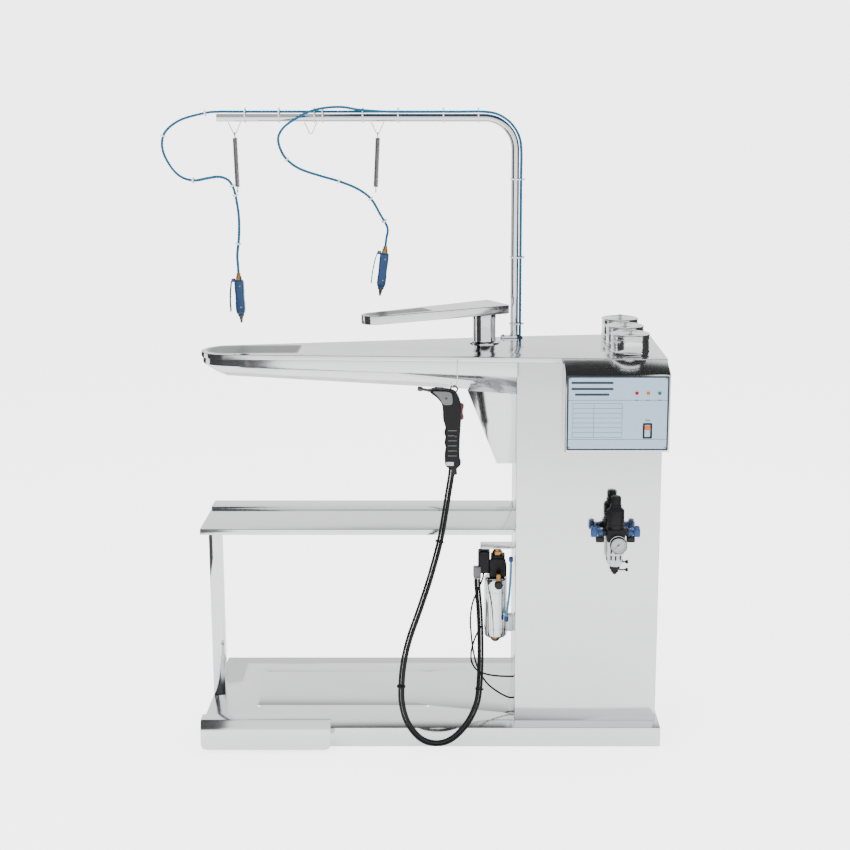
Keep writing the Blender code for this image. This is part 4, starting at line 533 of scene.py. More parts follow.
def end_tree(tree, geometry, finish, out):
    realised = node(tree, "GeometryNodeRealizeInstances", (("Geometry", geometry),))
    coated = node(tree, "GeometryNodeSetMaterial", (("Geometry", realised.outputs[0]), ("Material", finish)))
    tree.links.new(coated.outputs[0], out.inputs[0])


def scatter_tree():
    """Puts a copy of a small piece on every point, turned by the point's own angles."""
    tree, given, out = geometry_tree("repeat_on_points", (("Piece", "NodeSocketObject", None),
        ("Size", "NodeSocketFloat", 1.0), ("Finish", "NodeSocketMaterial", None)))
    piece = node(tree, "GeometryNodeObjectInfo", (("Object", given.outputs["Piece"]), ("As Instance", True)))
    angles = node(tree, "GeometryNodeInputNamedAttribute", (("Name", "turn"),), data_type="FLOAT_VECTOR")
    turn = node(tree, "FunctionNodeEulerToRotation", ((0, angles.outputs[0]),))
    placed = node(tree, "GeometryNodeInstanceOnPoints", (("Points", given.outputs["Geometry"]),
        ("Instance", piece.outputs["Geometry"]), ("Rotation", turn.outputs[0]),
        ("Scale", given.outputs["Size"])))
    end_tree(tree, placed.outputs[0], given.outputs["Finish"], out)
    return tree


def coil_tree():
    """A close-wound coil of wire along Z."""
    tree, given, out = geometry_tree("wound_coil", (("Turns", "NodeSocketFloat", 40.0),
        ("Coil Radius", "NodeSocketFloat", 0.005), ("Coil Height", "NodeSocketFloat", 0.1),
        ("Wire Radius", "NodeSocketFloat", 0.001), ("Finish", "NodeSocketMaterial", None)))
    spiral = node(tree, "GeometryNodeCurveSpiral", (("Resolution", 14), ("Rotations", given.outputs["Turns"]),
        ("Start Radius", given.outputs["Coil Radius"]), ("End Radius", given.outputs["Coil Radius"]),
        ("Height", given.outputs["Coil Height"])))
    wire = node(tree, "GeometryNodeCurvePrimitiveCircle",
        (("Resolution", 7), ("Radius", given.outputs["Wire Radius"])))
    swept = node(tree, "GeometryNodeCurveToMesh",
        (("Curve", spiral.outputs[0]), ("Profile Curve", wire.outputs[0]), ("Fill Caps", True)))
    smooth = node(tree, "GeometryNodeSetShadeSmooth", (("Geometry", swept.outputs[0]),))
    end_tree(tree, smooth.outputs[0], given.outputs["Finish"], out)
    return tree


SCATTER = scatter_tree()
COIL = coil_tree()


def run_tree(tree, mesh, values, place=None):
    """Runs a tree once on a mesh and returns the plain mesh it makes."""
    host = linked("tree_host", mesh)
    modifier = host.modifiers.new("Tree", "NODES")
    modifier.node_group = tree
    for item in tree.interface.items_tree:
        if item.in_out == "INPUT" and item.name in values:
            modifier[item.identifier] = values[item.name]
    made = settled(host)
    if place is not None:
        made.transform(place)
    return made


def repeated(tile, places, material, size=1.0):
    """A plain mesh of copies of a tile shape at the given frames."""
    tile_mesh = bpy.data.meshes.new("tile")
    bmesh.ops.recalc_face_normals(tile, faces=tile.faces)
    tile.to_mesh(tile_mesh)
    tile.free()
    tile_object = linked("tile", tile_mesh)
    points = bpy.data.meshes.new("places")
    points.from_pydata([tuple(place.translation) for place in places], [], [])
    angles = points.attributes.new("turn", "FLOAT_VECTOR", "POINT")
    for index, place in enumerate(places):
        angles.data[index].vector = place.to_euler()
    made = run_tree(SCATTER, points, {"Piece": tile_object, "Size": size, "Finish": material})
    bpy.data.objects.remove(tile_object, do_unlink=True)
    return made


def merged(*meshes):
    """Several plain meshes as one."""
    shape = bmesh.new()
    for mesh in meshes:
        shape.from_mesh(mesh)
    return plain(shape, "merged")


def mesh_from(shape):
    bmesh.ops.recalc_face_normals(shape, faces=shape.faces)
    return plain(shape, "part")


# Camera, floor and light

LENS_LENGTH, LENS_SHIFT = 58.7, (-0.0394, -0.1)
CAMERA_PLACE, CAMERA_DROP = (0.0671, depth(-3.1), 1.57), 10.52
FLOOR_HALF, FLOOR_GLOW, FLOOR_SEEN = 40.0, 0.85, 3.2
GLOSSY_WORLD, DIFFUSE_WORLD, SEEN_WORLD = 1.55, 1.15, 4.2
CARD_HEIGHT = 1.6


def camera_and_light():
    lens_data = bpy.data.cameras.new("camera")
    lens_data.lens = LENS_LENGTH
    lens_data.shift_x, lens_data.shift_y = LENS_SHIFT
    camera = linked("camera", lens_data)
    camera.location = CAMERA_PLACE
    camera.rotation_euler = math.radians(90 - CAMERA_DROP), 0, 0
    bpy.context.scene.camera = camera

    studio_surroundings()

    floor = bpy.data.objects.new("floor", bpy.data.meshes.new("floor"))
    half = FLOOR_HALF
    floor.data.from_pydata([(-half, -half, 0), (half, -half, 0), (half, half, 0), (-half, half, 0)], [],
        [(0, 1, 2, 3)])
    floor_paint = moulded("floor_paint", (0.88, 0.88, 0.88), (0.87, 0.87, 0.87), 0.6, 0.7, bump=0.0001)
    glow = floor_paint.node_tree.nodes["Principled BSDF"]
    glow.inputs["Emission Color"].default_value = (1, 1, 1, 1)
    seen = node(floor_paint.node_tree, "ShaderNodeLightPath").outputs["Is Camera Ray"]
    level = node(floor_paint.node_tree, "ShaderNodeMapRange", ((0, seen), (3, FLOOR_GLOW), (4, FLOOR_SEEN)))
    floor_paint.node_tree.links.new(level.outputs[0], glow.inputs["Emission Strength"])
    floor.data.materials.append(floor_paint)
    bpy.context.scene.collection.objects.link(floor)
    floor.location.z = -0.001

    for name, place, aim, size, power in (("key_light", (-2.2, -2.6, 3.4), (0, 0, 0.8), 2.0, 70),
            ("fill_light", (2.8, -2.2, 2.6), (0, 0, 0.8), 2.0, 45), ("top_light", (0, 0.6, 3.6), (0, 0, 0.9),
            2.4, 60)):
        light = bpy.data.lights.new(name, "AREA")
        light.size, light.energy = size, power
        holder = linked(name, light)
        holder.location = place
        holder.rotation_mode = "QUATERNION"
        holder.rotation_quaternion = (Vector(aim) - Vector(place)).to_track_quat("-Z", "Y")
        holder.visible_glossy = False

    card_finish = moulded("studio_card", (0.02, 0.02, 0.021), (0.017, 0.017, 0.018), 0.9, 0.95, bump=0.0001)
    for name, x, near, far in (("card_left", -1.0, -1.7, -0.12), ("card_right", 1.05, -0.34, 0.8),
            ("card_left_rear", -1.3, 0.25, 1.1)):
        card = linked(name, bpy.data.meshes.new(name))
        card.data.from_pydata([(x, near, 0), (x, far, 0), (x, far, CARD_HEIGHT), (x, near, CARD_HEIGHT)], [],
            [(0, 1, 2, 3)])
        card.data.materials.append(card_finish)
        card.visible_camera = card.visible_shadow = card.visible_diffuse = False


def stops(tree, value, points):
    """A ramp from (position, brightness) points."""
    ramp = node(tree, "ShaderNodeValToRGB", (("Fac", value),))
    ramp.color_ramp.interpolation = "EASE"
    elements = ramp.color_ramp.elements
    while len(elements) < len(points):
        elements.new(0.5)
    for element, (position, bright) in zip(elements, points):
        element.position = position
        element.color = bright, bright, bright, 1
    return ramp.outputs["Color"]


def studio_surroundings():
    """A white studio with one dark band overhead, which shows only in polished metal."""
    world = bpy.data.worlds.new("studio")
    bpy.context.scene.world = world
    world.use_nodes = True
    tree = world.node_tree
    way = node(tree, "ShaderNodeTexCoord").outputs["Generated"]
    parts = node(tree, "ShaderNodeSeparateXYZ", (("Vector", way),))
    overhead = stops(tree, parts.outputs["Z"], [(0.0, 1.0), (0.52, 0.96), (0.62, 0.02), (0.93, 0.02),
        (0.97, 1.0)])
    path = node(tree, "ShaderNodeLightPath")
    shine = node(tree, "ShaderNodeBackground", (("Color", overhead), ("Strength", GLOSSY_WORLD)))
    soft = node(tree, "ShaderNodeBackground", (("Color", (1, 1, 1, 1)), ("Strength", DIFFUSE_WORLD)))
    seen = node(tree, "ShaderNodeBackground", (("Color", (1, 1, 1, 1)), ("Strength", SEEN_WORLD)))
    metal = node(tree, "ShaderNodeMixShader", ((0, path.outputs["Is Glossy Ray"]), (1, soft.outputs[0]),
        (2, shine.outputs[0])))
    last = node(tree, "ShaderNodeMixShader", ((0, path.outputs["Is Camera Ray"]), (1, metal.outputs[0]),
        (2, seen.outputs[0])))
    tree.links.new(last.outputs[0], tree.nodes["World Output"].inputs["Surface"])


# Free hoses and cables

SPRAY_SHARED = [(0.2187, 0.93), (0.2187, 1.05), (0.2187, 1.2), (0.2187, 1.34), (0.2187, 1.412), (0.212, 1.446),
    (0.1926, 1.4751), (0.1636, 1.4945), (0.1295, 1.5012), (0.06, 1.5012), (-0.02, 1.5012), (-0.1, 1.5014)]
SPRAY_LEFT = [(-0.2, 0.281, 1.5012), (-0.3, 0.281, 1.5012), (-0.4, 0.281, 1.5012), (-0.47, 0.281, 1.5012),
    (-0.51, 0.281, 1.5012), (-0.544, 0.28, 1.498), (-0.601, 0.277, 1.4823), (-0.636, 0.273, 1.4574),
    (-0.647, 0.27, 1.431), (-0.643, 0.267, 1.4004), (-0.624, 0.264, 1.3662), (-0.601, 0.262, 1.3454),
    (-0.571, 0.261, 1.3376), (-0.537, 0.26, 1.3435), (-0.51, 0.26, 1.3465), (-0.489, 0.26, 1.339),
    (-0.4775, 0.261, 1.3205), (-0.4715, 0.263, 1.2941), (-0.467, 0.268, 1.2482), (-0.469, 0.273, 1.199)]
SPRAY_RIGHT = [(-0.17, 0.2675, 1.506), (-0.211, 0.266, 1.5125), (-0.254, 0.262, 1.5105),
    (-0.292, 0.257, 1.501), (-0.324, 0.255, 1.4841), (-0.35, 0.255, 1.466), (-0.365, 0.256, 1.4423),
    (-0.3616, 0.257, 1.4156), (-0.3466, 0.258, 1.3889), (-0.316, 0.259, 1.3661), (-0.2668, 0.26, 1.349),
    (-0.2211, 0.26, 1.3358), (-0.1755, 0.26, 1.317), (-0.144, 0.261, 1.2925), (-0.124, 0.266, 1.257)]
STEAM = [(0.055, 0.02, 0.687), (0.0525, 0.019, 0.665), (0.047, 0.016, 0.632), (0.039, 0.008, 0.583),
    (0.027, -0.005, 0.518), (0.004, -0.02, 0.434), (-0.021, -0.03, 0.358), (-0.046, -0.037, 0.286),
    (-0.059, -0.04, 0.227), (-0.064, -0.04, 0.173), (-0.063, -0.04, 0.128), (-0.05, -0.04, 0.081),
    (-0.021, -0.04, 0.043), (0.014, -0.04, 0.031), (0.049, -0.036, 0.04), (0.083, -0.028, 0.072),
    (0.105, -0.015, 0.111), (0.113, 0.0, 0.147), (0.117, 0.04, 0.21), (0.116, 0.085, 0.289),
    (0.112, 0.119, 0.34), (0.11, 0.129, 0.362), (0.11, 0.13, 0.3745)]
VALVE = [(0.129, 0.141, 0.388), (0.1265, 0.14, 0.373), (0.115, 0.14, 0.344), (0.1015, 0.135, 0.31),
    (0.0965, 0.127, 0.275), (0.098, 0.121, 0.24), (0.103, 0.12, 0.196), (0.114, 0.12, 0.15),
    (0.136, 0.12, 0.11), (0.163, 0.12, 0.086), (0.19, 0.12, 0.071), (0.206, 0.12, 0.07)]
SENSOR = [(0.1275, 0.15, 0.247), (0.118, 0.15, 0.236), (0.107, 0.151, 0.21), (0.099, 0.152, 0.178),
    (0.1, 0.152, 0.15), (0.113, 0.151, 0.129), (0.137, 0.15, 0.118), (0.17, 0.15, 0.113), (0.206, 0.15, 0.112)]
HOSE_SPREAD = 0.0058
POST_TIES = 1.34, 1.15, 0.985
ARM_TIES = -0.446, -0.364, -0.279, -0.259, -0.163, -0.078, 0.031, 0.115
HOSE_TIES = {"left": ((-0.543, 1.499), (-0.64, 1.445), (-0.571, 1.338), (-0.482, 1.326), (-0.474, 1.303),
    (-0.47, 1.185)), "right": ((-0.35, 1.378), (-0.224, 1.336), (-0.144, 1.292), (-0.116, 1.235))}
GUNS = {"left": ((POST.x - 0.6767, 1.0937), math.radians(-2)),
    "right": ((POST.x - 0.318, 1.16), math.radians(7))}
GUN_FITTING = 0.0172
STEAM_GUN = Vector((0.0532, depth(0.02), 0.6902))
HANG_RING = STEAM_GUN + Vector((0.0036, 0, 0.1853))
RING_RADIUS, RING_WIRE = 0.0078, 0.0017


def in_row(points):
    return [(x, depth(y), z) for x, y, z in points]


def beside(route, distance):
    moved = []
    for index, here in enumerate(route):
        before, after = route[max(index - 1, 0)], route[min(index + 1, len(route) - 1)]
        moved.append(here + (after - before).normalized().cross(Vector((0, 1, 0))).normalized() * distance)
    return moved


def spray_route(side):
    offset = HOSE_SPREAD if side == "left" else -HOSE_SPREAD
    shared = [(x, ROW_DEPTH + offset, z) for x, z in SPRAY_SHARED]
    (x, z), tilt = GUNS[side]
    inlet = [(x + math.sin(tilt) * along, ROW_DEPTH, z + math.cos(tilt) * along)
        for along in (GUN_FITTING + 0.045, GUN_FITTING + 0.02, GUN_FITTING + 0.0006)]
    return in_row(shared + (SPRAY_LEFT if side == "left" else SPRAY_RIGHT) + inlet)


def twin_outline(radius, reach, steps=9):
    """Two round tubes bonded side by side, as one outline with a shallow waist."""
    right = [(reach + radius * math.cos(turn), radius * math.sin(turn))
        for turn in (math.radians(-125 + 250 * step / steps) for step in range(steps + 1))]
    left = [(-u, -v) for u, v in right]
    return right + left


def tie(shape, place, wide, tall, band=0.0012, width=0.0026):
    """A cable tie: a thin band round a bundle, with its head and cut tail. The bundle runs along Z."""
    outer = [((wide + band) * math.copysign(abs(math.cos(t)) ** 0.8, math.cos(t)),
        (tall + band) * math.copysign(abs(math.sin(t)) ** 0.8, math.sin(t)))
        for t in (CYCLE * step / 20 for step in range(20))]
    inner = inset(outer, band)
    rings = [[place @ Vector((x, y, z)) for x, y in outline]
        for outline, z in ((outer, -width / 2), (outer, width / 2), (inner, width / 2), (inner, -width / 2))]
    add_rings(shape, rings, loop=True)
    block(shape, (-0.0024, tall + band * 0.3, -0.0022), (0.0024, tall + band + 0.0032, 0.0022), place,
        corner=0.0006)
    block(shape, (0.0022, tall + band + 0.0004, -0.0011), (0.0075, tall + band + 0.0013, 0.0011), place,
        corner=0.0003)


def frame_on(point, direction, up=Vector((0, -1, 0))):
    """A frame with its Z axis along a direction and its Y axis towards up."""
    z = direction.normalized()
    x = up.cross(z).normalized()
    y = z.cross(x)
    matrix = Matrix((x, y, z)).transposed().to_4x4()
    matrix.translation = point
    return matrix


def nearest(route, x, z):
    """The step of a route nearest a place seen from the front, and the route's direction there."""
    index = min(range(1, len(route) - 1), key=lambda i: (route[i] - Vector((x, route[i].y, z))).length)
    return (index, route[index + 1] - route[index - 1])


def free_hoses():
    for side in ("left", "right"):
        route = smooth_route(spray_route(side), 0.008)
        shape = new_shape()
        sweep(shape, route, twin_outline(0.003, 0.0026), twist=(0, 1, 0))
        hose = finished(f"twin_hose_{side}", shape, BLUE_HOSE, stands_for=(f"spray_hose_{side}",), sharp=50)
        ties = new_shape()
        for x, z in HOSE_TIES[side]:
            index, direction = nearest(route, x, z)
            tie(ties, frame_on(route[index], direction), 0.006, 0.0042)
        bands = finished(f"hose_ties_{side}", ties, NYLON)
        tuple(route[0])
        length_of(route)
        [tuple(p) for p in route]
    route = smooth_route(in_row(STEAM), 0.008)
    cable_route = beside(route, -(0.0045 + 0.003 + 0.0003))
    for name, points, radius, stands in (("steam_hose_skin", route, 0.0045, "steam_hose"),
            ("trigger_cable", cable_route, 0.003, "steam_cable"),
            ("valve_lead", smooth_route(in_row(VALVE), 0.006), 0.0022, "valve_cable"),
            ("sensor_lead", smooth_route(in_row(SENSOR), 0.006), 0.0022, "sensor_cable")):
        shape = new_shape()
        sweep(shape, points, ring_of(radius, 14))
        hose = finished(name, shape, RUBBER, stands_for=(stands,), sharp=60)
        extra = []
        if name == "steam_hose_skin":
            ties = new_shape()
            for x, z in ((0.027, 0.518), (-0.064, 0.173), (0.113, 0.147)):
                index, direction = nearest(points, x, z)
                spot = frame_on((points[index] + cable_route[index]) / 2, direction)
                tie(ties, spot, 0.0088, 0.0052, band=0.0014, width=0.0042)
            extra = [finished("steam_hose_ties", ties, BLACK)]
        tuple(points[0])
        length_of(points)
        [tuple(p) for p in points]


# Sheet metal

HOLE_PITCH, HOLE_RADIUS = 0.0042, 0.0013

def screw_tile(radius=0.0035, height=0.0018):
    """A pan-head screw with a cross recess, lying on its frame's XY plane."""
    shape = new_shape()
    lathe(shape, [(radius, 0.0), (radius, height * 0.45), (radius * 0.8, height * 0.85),
        (radius * 0.4, height), (0, height)], Matrix(), steps=14)
    for angle in (0, 90):
        block(shape, (-radius * 0.62, -radius * 0.11, height * 0.8),
            (radius * 0.62, radius * 0.11, height * 1.02), Matrix.Rotation(math.radians(angle + 20), 4, "Z"),
            corner=radius * 0.08, steps=1)
    return shape


def sheet_metal():
    for name, material, body, width, segments, fold in (("base_tray", STEEL, "table", 0.0004, 4, 0.0036),
            ("foot_pedal", STEEL, "pedal", 0.0004, 3, 0), ("lower_shelf", STEEL, "table", 0.0004, 4, 0.0034),
            ("column_shell", STEEL, "table", 0.0004, 3, 0.002), ("column_rear_cover", STEEL, "table", 0.0005,
            2, 0), ("support_leg", CHROME, "table", 0.003, 4, 0), ("board_top", STEEL, "table", 0.0004, 4,
            0.0034), ("vacuum_pan", STEEL, "table", 0.0004, 3, 0.0018), ("sleeve_top", STEEL, "sleeve", 0.0004,
            4, 0.003), ("sleeve_pan", STEEL, "sleeve", 0.0004, 2, 0), ("control_box", STEEL, "table", 0.0004,
            3, 0.0016)):
        softened(name, material, body, SLOTS[material.name], width, segments, fold=fold)
    low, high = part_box("column_rear_cover")
    places = []
    for z in (0.09, 0.3, 0.52, 0.73, 0.92):
        for x in (low.x + 0.01, high.x - 0.01):
            places.append(at(x, high.y, z, (-90, "X")))
    screws = repeated(screw_tile(), places, ZINC)
    finished("cover_screws", screws, ZINC)


class BOX:
    low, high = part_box("control_box")
    x0, x1, z0, face = low.x, high.x, low.z, low.y
    z1 = 0.927


# Perforated screens

def cad_rim(node_name, place):
    """The outer rim of a flat CAD plate's top face, anticlockwise, in the given frame."""
    shape = welded(node_name)
    shape.transform(place.inverted())
    top = max(vertex.co.z for vertex in shape.verts)
    flat = [face for face in shape.faces if all(abs(vertex.co.z - top) < 1e-05 for vertex in face.verts)]
    inside = set(flat)
    edges = [edge for edge in shape.edges if sum(face in inside for face in edge.link_faces) == 1]
    links = {}
    for edge in edges:
        for vertex, other in (edge.verts, reversed(edge.verts)):
            links.setdefault(vertex, []).append(other)
    start = min(links, key=lambda vertex: vertex.co.x)
    loop, previous, here = [start], None, start
    while True:
        following = [vertex for vertex in links[here] if vertex is not previous]
        previous, here = here, following[0]
        if here is start:
            break
        loop.append(here)
    points = [(vertex.co.x, vertex.co.y) for vertex in loop]
    area = sum((x0 * y1 - x1 * y0 for (x0, y0), (x1, y1) in zip(points, points[1:] + points[:1])))
    shape.free()
    return points if area > 0 else points[::-1]


def inside_outline(outline, x, y):
    crossed = False
    for (x0, y0), (x1, y1) in zip(outline, outline[1:] + outline[:1]):
        if (y0 > y) != (y1 > y) and x < (x1 - x0) * (y - y0) / (y1 - y0) + x0:
            crossed = not crossed
    return crossed


def hole_tile(pitch, radius):
    """One cell of a perforated sheet: a square with a round hole, as a flat ring of faces."""
    shape = new_shape()
    half = pitch / 2
    outer = [(half, -half), (half, 0), (half, half), (0, half), (-half, half), (-half, 0), (-half, -half),
        (0, -half)]
    inner = [(radius * math.cos(math.radians(angle)), radius * math.sin(math.radians(angle)))
        for angle in (-45, 0, 45, 90, 135, 180, 225, 270)]
    outer_verts = [shape.verts.new((x, y, 0)) for x, y in outer]
    inner_verts = [shape.verts.new((x, y, 0)) for x, y in inner]
    for index in range(8):
        after = (index + 1) % 8
        shape.faces.new((outer_verts[index], outer_verts[after], inner_verts[after], inner_verts[index]))
    return shape


def perforated(name, node_name, place, body, pitch, radius, thickness, top):
    """A screen with real holes: a field of pierced cells, joined to the rim and given its thickness."""
    outline = inset(cad_rim(node_name, place), 0.0002)
    border = inset(outline, 0.004)
    xs, ys = ([x for x, _ in border], [y for _, y in border])
    columns = int((max(xs) - min(xs)) / pitch)
    rows = int((max(ys) - min(ys)) / pitch)
    x0 = (max(xs) + min(xs) - columns * pitch) / 2
    y0 = (max(ys) + min(ys) - rows * pitch) / 2
    cells = []
    for column in range(columns):
        for row in range(rows):
            corners = [(x0 + (column + i) * pitch, y0 + (row + j) * pitch) for i in (0, 1) for j in (0, 1)]
            if all(inside_outline(border, *corner) for corner in corners):
                cells.append(at(x0 + (column + 0.5) * pitch, y0 + (row + 0.5) * pitch, 0))
    field = repeated(hole_tile(pitch, radius), cells, SCREEN_STEEL)
    shape = bmesh.new()
    shape.from_mesh(field)
    bmesh.ops.remove_doubles(shape, verts=shape.verts, dist=pitch * 0.02)
    reach = pitch * 0.45
    open_edges = [edge for edge in shape.edges if edge.is_boundary]

    def on_hole(edge):
        middle = (edge.verts[0].co + edge.verts[1].co) / 2
        x = x0 + (math.floor((middle.x - x0) / pitch) + 0.5) * pitch
        y = y0 + (math.floor((middle.y - y0) / pitch) + 0.5) * pitch
        return max(abs(middle.x - x), abs(middle.y - y)) < reach

    border_edges = [edge for edge in open_edges if not on_hole(edge)]
    rim = [shape.verts.new((x, y, 0)) for x, y in outline]
    rim_edges = [shape.edges.new((rim[index], rim[(index + 1) % len(rim)])) for index in range(len(rim))]
    bmesh.ops.triangle_fill(shape, use_beauty=True, use_dissolve=False, edges=border_edges + rim_edges)
    bmesh.ops.recalc_face_normals(shape, faces=shape.faces)
    upward = sum(face.normal.z * face.calc_area() for face in shape.faces)
    if upward < 0:
        bmesh.ops.reverse_faces(shape, faces=shape.faces)
    mesh = plain(shape, name)
    draft = linked(name + "_draft", mesh)
    wall = draft.modifiers.new("Wall", "SOLIDIFY")
    wall.thickness = thickness
    wall.offset = -1
    mesh = settled(draft)
    mesh.transform(place @ Matrix.Translation((0, 0, top)))
    return finished(name, mesh, SCREEN_STEEL, body, "screen", (node_name,), sharp=30)


def screens():
    perforated("board_perforations", "board_screen", Matrix(), "table", HOLE_PITCH, HOLE_RADIUS, 0.0019,
        BOARD_TOP - 0.0001)
    perforated("sleeve_perforations", "sleeve_screen", SLEEVE, "sleeve", HOLE_PITCH, HOLE_RADIUS, 0.0014,
        -0.0001)


# Posts, gantry, hooks and springs

def tube(shape, points, radius, wall, sides=32):
    """A pipe with an open bore: its outside, its inside and the rims between them."""
    points = [Vector(point) for point in points]
    sides_along = frames_along(points)
    rings = []
    for reach, order in ((radius, 1), (radius - wall, -1)):
        for (side, up), point in list(zip(sides_along, points))[::order]:
            rings.append([point + side * u + up * v for u, v in ring_of(reach, sides)])
    add_rings(shape, rings, loop=True)


def gantry():
    bend = 0.075
    line = [(POST.x, BOARD_TOP + 0.0008)] + [(POST.x, BOARD_TOP + 0.1 * step) for step in range(1, 5)]
    line += arc((POST.x - bend, ARM_Z - bend), bend, 0, 90, 16)
    line += [(POST.x - bend - 0.1 * step, ARM_Z) for step in range(1, 7)] + [(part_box("gantry_pipe")[0].x,
        ARM_Z)]
    shape = new_shape()
    tube(shape, [(x, POST.y, z) for x, z in line], PIPE_RADIUS, 0.0015)
    block(shape, (POST.x - 0.034, POST.y - 0.012, BOARD_TOP + 0.0004),
        (POST.x + 0.0086, POST.y + 0.012, BOARD_TOP + 0.0043), corner=0.003, rounding=0.0006)
    lathe(shape, mm([(12.2, 0), (11.8, 2.2), (9.7, 3.5), (9.3, 0)]), at(POST.x, POST.y, BOARD_TOP + 0.0042),
        loop=True)
    finished("gantry_finished", shape, CHROME, stands_for=("gantry_pipe",), sharp=40)
    bolts = repeated(screw_tile(0.0036, 0.0024), [at(POST.x - 0.027, POST.y + side, BOARD_TOP + 0.0042)
        for side in (-0.006, 0.006)], ZINC)
    finished("gantry_screws", bolts, ZINC)
    ties = new_shape()
    for x in ARM_TIES:
        tie(ties, frame_on(Vector((x, POST.y + 0.0005, ARM_Z + 0.0046)), Vector((1, 0, 0)), Vector((0, 0, 1))),
            0.0118, 0.0152, width=0.003)
    for z in POST_TIES:
        tie(ties, frame_on(Vector((POST.x + 0.0046, POST.y, z)), Vector((0, 0, 1)), Vector((1, 0, 0))), 0.0118,
            0.0152, width=0.003)
    finished("gantry_ties", ties, NYLON)
    grommet = new_shape()
    outline = rounded_box(*mm(((-7.2, -13.5), (7.2, 13.5))), 0.0065, 5)
    rings = [[Vector((POST.x + 0.0142 + x * s, POST.y + y * s, BOARD_TOP + z)) for x, y in outline]
        for s, z in ((1.0, 0.0004), (0.97, 0.0018), (0.86, 0.0018), (0.84, 0.0004))]
    add_rings(grommet, rings, loop=True)
    finished("hose_grommet", grommet, BLACK)


def hooks_and_springs():
    under = ARM_Z - PIPE_RADIUS - 0.0003
    for side, along in (("left", 0.6765), ("middle", 0.493), ("right", 0.332)):
        x = POST.x - along
        half, low = 0.0155, under - 0.028
        path = [(x - half, under - HOOK_WIRE), (x - half + 0.002, under - 0.004)]
        path += [(x + dx, z) for dx, z in arc((0, low + 0.004), 0.004, 205, 335, 10)]
        path += [(x + half - 0.002, under - 0.004), (x + half, under - HOOK_WIRE)]
        route = smooth_route([(px, POST.y, pz) for px, pz in path], 0.0014)
        shape = new_shape()
        sweep(shape, route, ring_of(HOOK_WIRE, 12))
        finished(f"hook_wire_{side}", shape, CHROME, stands_for=(f"arm_hook_{side}",), sharp=60)
        if side == "middle":
            continue
        lean = 0.003 if side == "left" else -0.006
        wire, eye, apex = 0.0011, 0.005, under - 0.028
        top = apex - HOOK_WIRE - wire - 0.0003
        upper = [(x, POST.y + dy, dz) for dy, dz in arc((0, top + 2 * (HOOK_WIRE + wire) + 0.0011 - eye), eye,
            250, -70, 20)]
        start = upper[-1][2] - 0.003
        low_z = start - 0.119 - 0.003 - eye
        lower = [(x + lean, POST.y + dy, dz) for dy, dz in arc((0, low_z), eye, 110, -200, 20)]
        eyes = new_shape()
        for points in (upper + [(x, POST.y + 0.0035, start), (x + 0.003, POST.y + 0.0025, start - 0.0015)],
                [(x + lean + 0.003, POST.y + 0.0025, start - 0.1165),
                (x + lean, POST.y + 0.0035, start - 0.1185)] + lower):
            sweep(eyes, smooth_route(points, 0.001), ring_of(wire, 10))
        direction = Vector((lean, 0, -0.117))
        place = frame_on(Vector((x, POST.y, start - 0.001)), direction)
        coil = run_tree(COIL, bpy.data.meshes.new("seed"), {"Turns": 49.0, "Coil Radius": 0.0048,
            "Coil Height": direction.length, "Wire Radius": wire, "Finish": ZINC}, place)
        finished(f"spring_coil_{side}", merged(coil, mesh_from(eyes)), ZINC,
            stands_for=(f"balance_spring_{side}",), sharp=60)


def sleeve_stand():
    low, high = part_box("sleeve_post")
    centre = (low + high) / 2
    tall = high.z - low.z
    profile = [(0.0375, 0), (0.0375, 0.0022), (0.0365, 0.0032), (0.03, 0.0034), (0.0285, 0.0045),
        (0.0275, 0.0065), (0.0275, tall - 0.0145), (0.0285, tall - 0.014), (0.0285, tall - 0.0015),
        (0.028, tall - 0.0005), (0.0275, tall), (0.0261, tall), (0.026, 0.0)]
    turned("sleeve_post_finished", profile, at(centre.x, centre.y, low.z), CHROME, stands_for=("sleeve_post",),
        sharp=35, steps=64, loop=True)
    bolts = repeated(screw_tile(0.003, 0.002),
        [at(centre.x + 0.0335 * math.cos(turn), centre.y + 0.0335 * math.sin(turn), low.z + 0.0031)
        for turn in (CYCLE * (step + 0.4) / 4 for step in range(4))], ZINC)
    finished("sleeve_post_screws", bolts, ZINC)


# Guns

